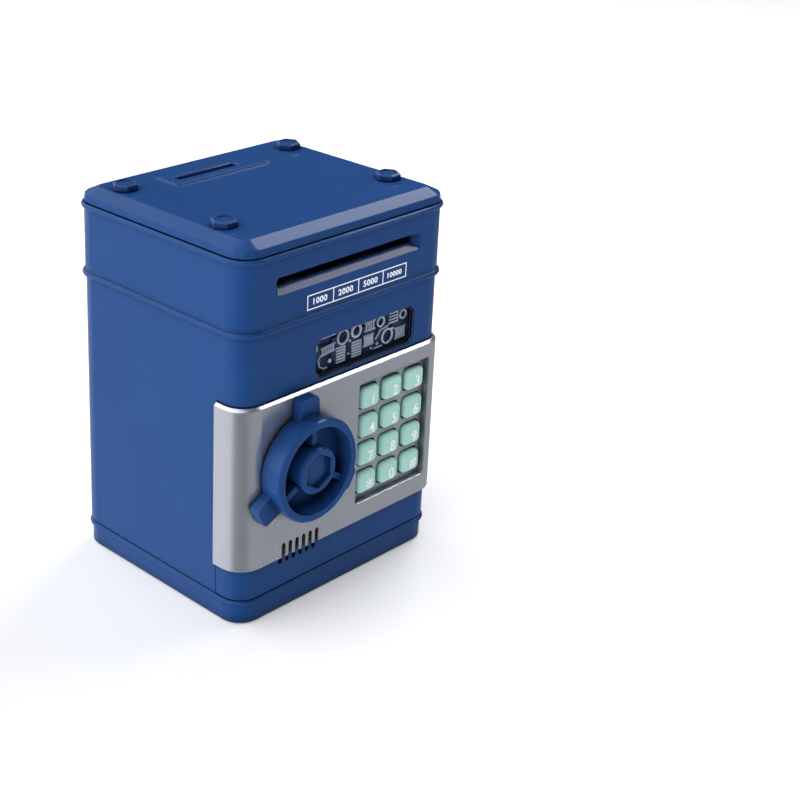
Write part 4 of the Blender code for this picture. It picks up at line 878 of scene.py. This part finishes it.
class BANK_OT_battery(bpy.types.Operator):
    """Battery box with three cells, contacts, cover and screw"""

    bl_idname = "bank.battery"
    bl_label = "Battery"

    def execute(self, context):
        carry("battery_box", "battery_cell_1", "battery_cell_2", "battery_cell_3", "battery_contact_front",
              "battery_contact_rear", "battery_cover", "battery_cover_screw")
        return {"FINISHED"}


class BANK_OT_stage(bpy.types.Operator):
    """Pale floor, soft lights and the camera"""

    bl_idname = "bank.stage"
    bl_label = "Stage"

    def execute(self, context):
        scene = context.scene
        studio = scene.bank_studio
        half = studio.floor_size / 2
        bm = bmesh.new()
        bm.faces.new([bm.verts.new(p) for p in ((-half, -half, 0), (half, -half, 0), (half, half, 0),
                                                (-half, half, 0))])
        mesh = bpy.data.meshes.new("floor")
        bm.to_mesh(mesh)
        bm.free()
        floor = bpy.data.objects.new("floor", mesh)
        scene.collection.objects.link(floor)
        mesh.materials.append(floor_paper("floor_paper", scene.bank_colours.floor))
        floor.visible_glossy = False
        self.softbox("top_softbox", TOP_SOFTBOX, TOP_SOFTBOX_SIDE, studio.top_light)
        self.softbox("edge_softbox", EDGE_SOFTBOX, EDGE_SOFTBOX_SIDE, studio.edge_light)
        scene.world = self.room(studio)
        scene.view_settings.view_transform = "Standard"
        data = bpy.data.cameras.new("camera")
        data.lens = studio.lens
        data.shift_x, data.shift_y = studio.shift
        camera = bpy.data.objects.new("camera", data)
        camera.location = studio.camera_place
        camera.rotation_euler = studio.camera_turn
        scene.collection.objects.link(camera)
        scene.camera = camera
        return {"FINISHED"}

    @staticmethod
    def room(studio):
        """Room light: bright from the upper left, dim from the front right, darkest low in front."""
        world = bpy.data.worlds.new("room")
        world.use_nodes = True
        made = Nodes(world.node_tree)
        way = made.node("ShaderNodeTexCoord", {}, {}, "Generated")
        walls = made.graded(made.dot(way, BRIGHT_WAY), 0.0, 0.9, studio.room_low, studio.room_high)
        glow = made.graded(made.dot(way, LEFT_WAY), -0.6, 0.6, studio.glow_right, studio.glow_left, "LINEAR")
        glow = made.graded(made.dot(way, DARK_WAY), 0.68, 0.98, glow, studio.glow_right * 0.4)
        above = made.graded(made.split(way)[2], -0.14, 0.04, 0.0, 1.0)
        strength = made.graded(above, 0.0, 1.0, glow, walls, "LINEAR")
        light = made.node("ShaderNodeBackground", {}, {
            "Color": (0.97, 0.98, 1.0, 1.0), "Strength": strength})
        made.node("ShaderNodeOutputWorld", {}, {"Surface": light})
        return world

    @staticmethod
    def softbox(name, place, size, power):
        """A square area light that faces the middle of the object."""
        light = bpy.data.lights.new(name, "AREA")
        light.shape = "SQUARE"
        light.size = size
        light.energy = power
        holder = bpy.data.objects.new(name, light)
        holder.location = place
        aim = Vector(BOX_MIDDLE) - Vector(place)
        holder.rotation_euler = aim.to_track_quat("-Z", "Y").to_euler()
        bpy.context.scene.collection.objects.link(holder)


class BANK_PT_panel(bpy.types.Panel):
    """Lists the money box's makers in the sidebar"""

    bl_idname = "BANK_PT_panel"
    bl_label = "Money Box"
    bl_space_type = "VIEW_3D"
    bl_region_type = "UI"
    bl_category = "Money Box"

    def draw(self, context):
        for maker in MAKERS:
            self.layout.operator(maker.bl_idname)
        for group in (context.scene.bank_colours, context.scene.bank_sizes, context.scene.bank_studio):
            for name in group.bl_rna.properties.keys():
                if name not in ("rna_type", "name"):
                    self.layout.prop(group, name)


MAKERS = (BANK_OT_shell, BANK_OT_amounts, BANK_OT_door, BANK_OT_keypad, BANK_OT_knob, BANK_OT_window,
          BANK_OT_feeder, BANK_OT_battery, BANK_OT_stage)
GROUPS = (BankColours, BankSizes, BankStudio)


def register():
    for cls in (*GROUPS, *MAKERS, BANK_PT_panel):
        bpy.utils.register_class(cls)
    bpy.types.Scene.bank_colours = PointerProperty(type=BankColours)
    bpy.types.Scene.bank_sizes = PointerProperty(type=BankSizes)
    bpy.types.Scene.bank_studio = PointerProperty(type=BankStudio)


def unregister():
    del bpy.types.Scene.bank_studio
    del bpy.types.Scene.bank_sizes
    del bpy.types.Scene.bank_colours
    for cls in reversed((*GROUPS, *MAKERS, BANK_PT_panel)):
        bpy.utils.unregister_class(cls)


def main():
    for name in ("Cube", "Light", "Camera"):
        if name in bpy.data.objects:
            bpy.data.objects.remove(bpy.data.objects[name])
    register()
    bpy.ops.bank.stage()
    bpy.ops.bank.shell()
    bpy.ops.bank.amounts()
    bpy.ops.bank.door()
    bpy.ops.bank.keypad()
    bpy.ops.bank.knob()
    bpy.ops.bank.window()
    bpy.ops.bank.feeder()
    bpy.ops.bank.battery()


if __name__ == "__main__":
    main()
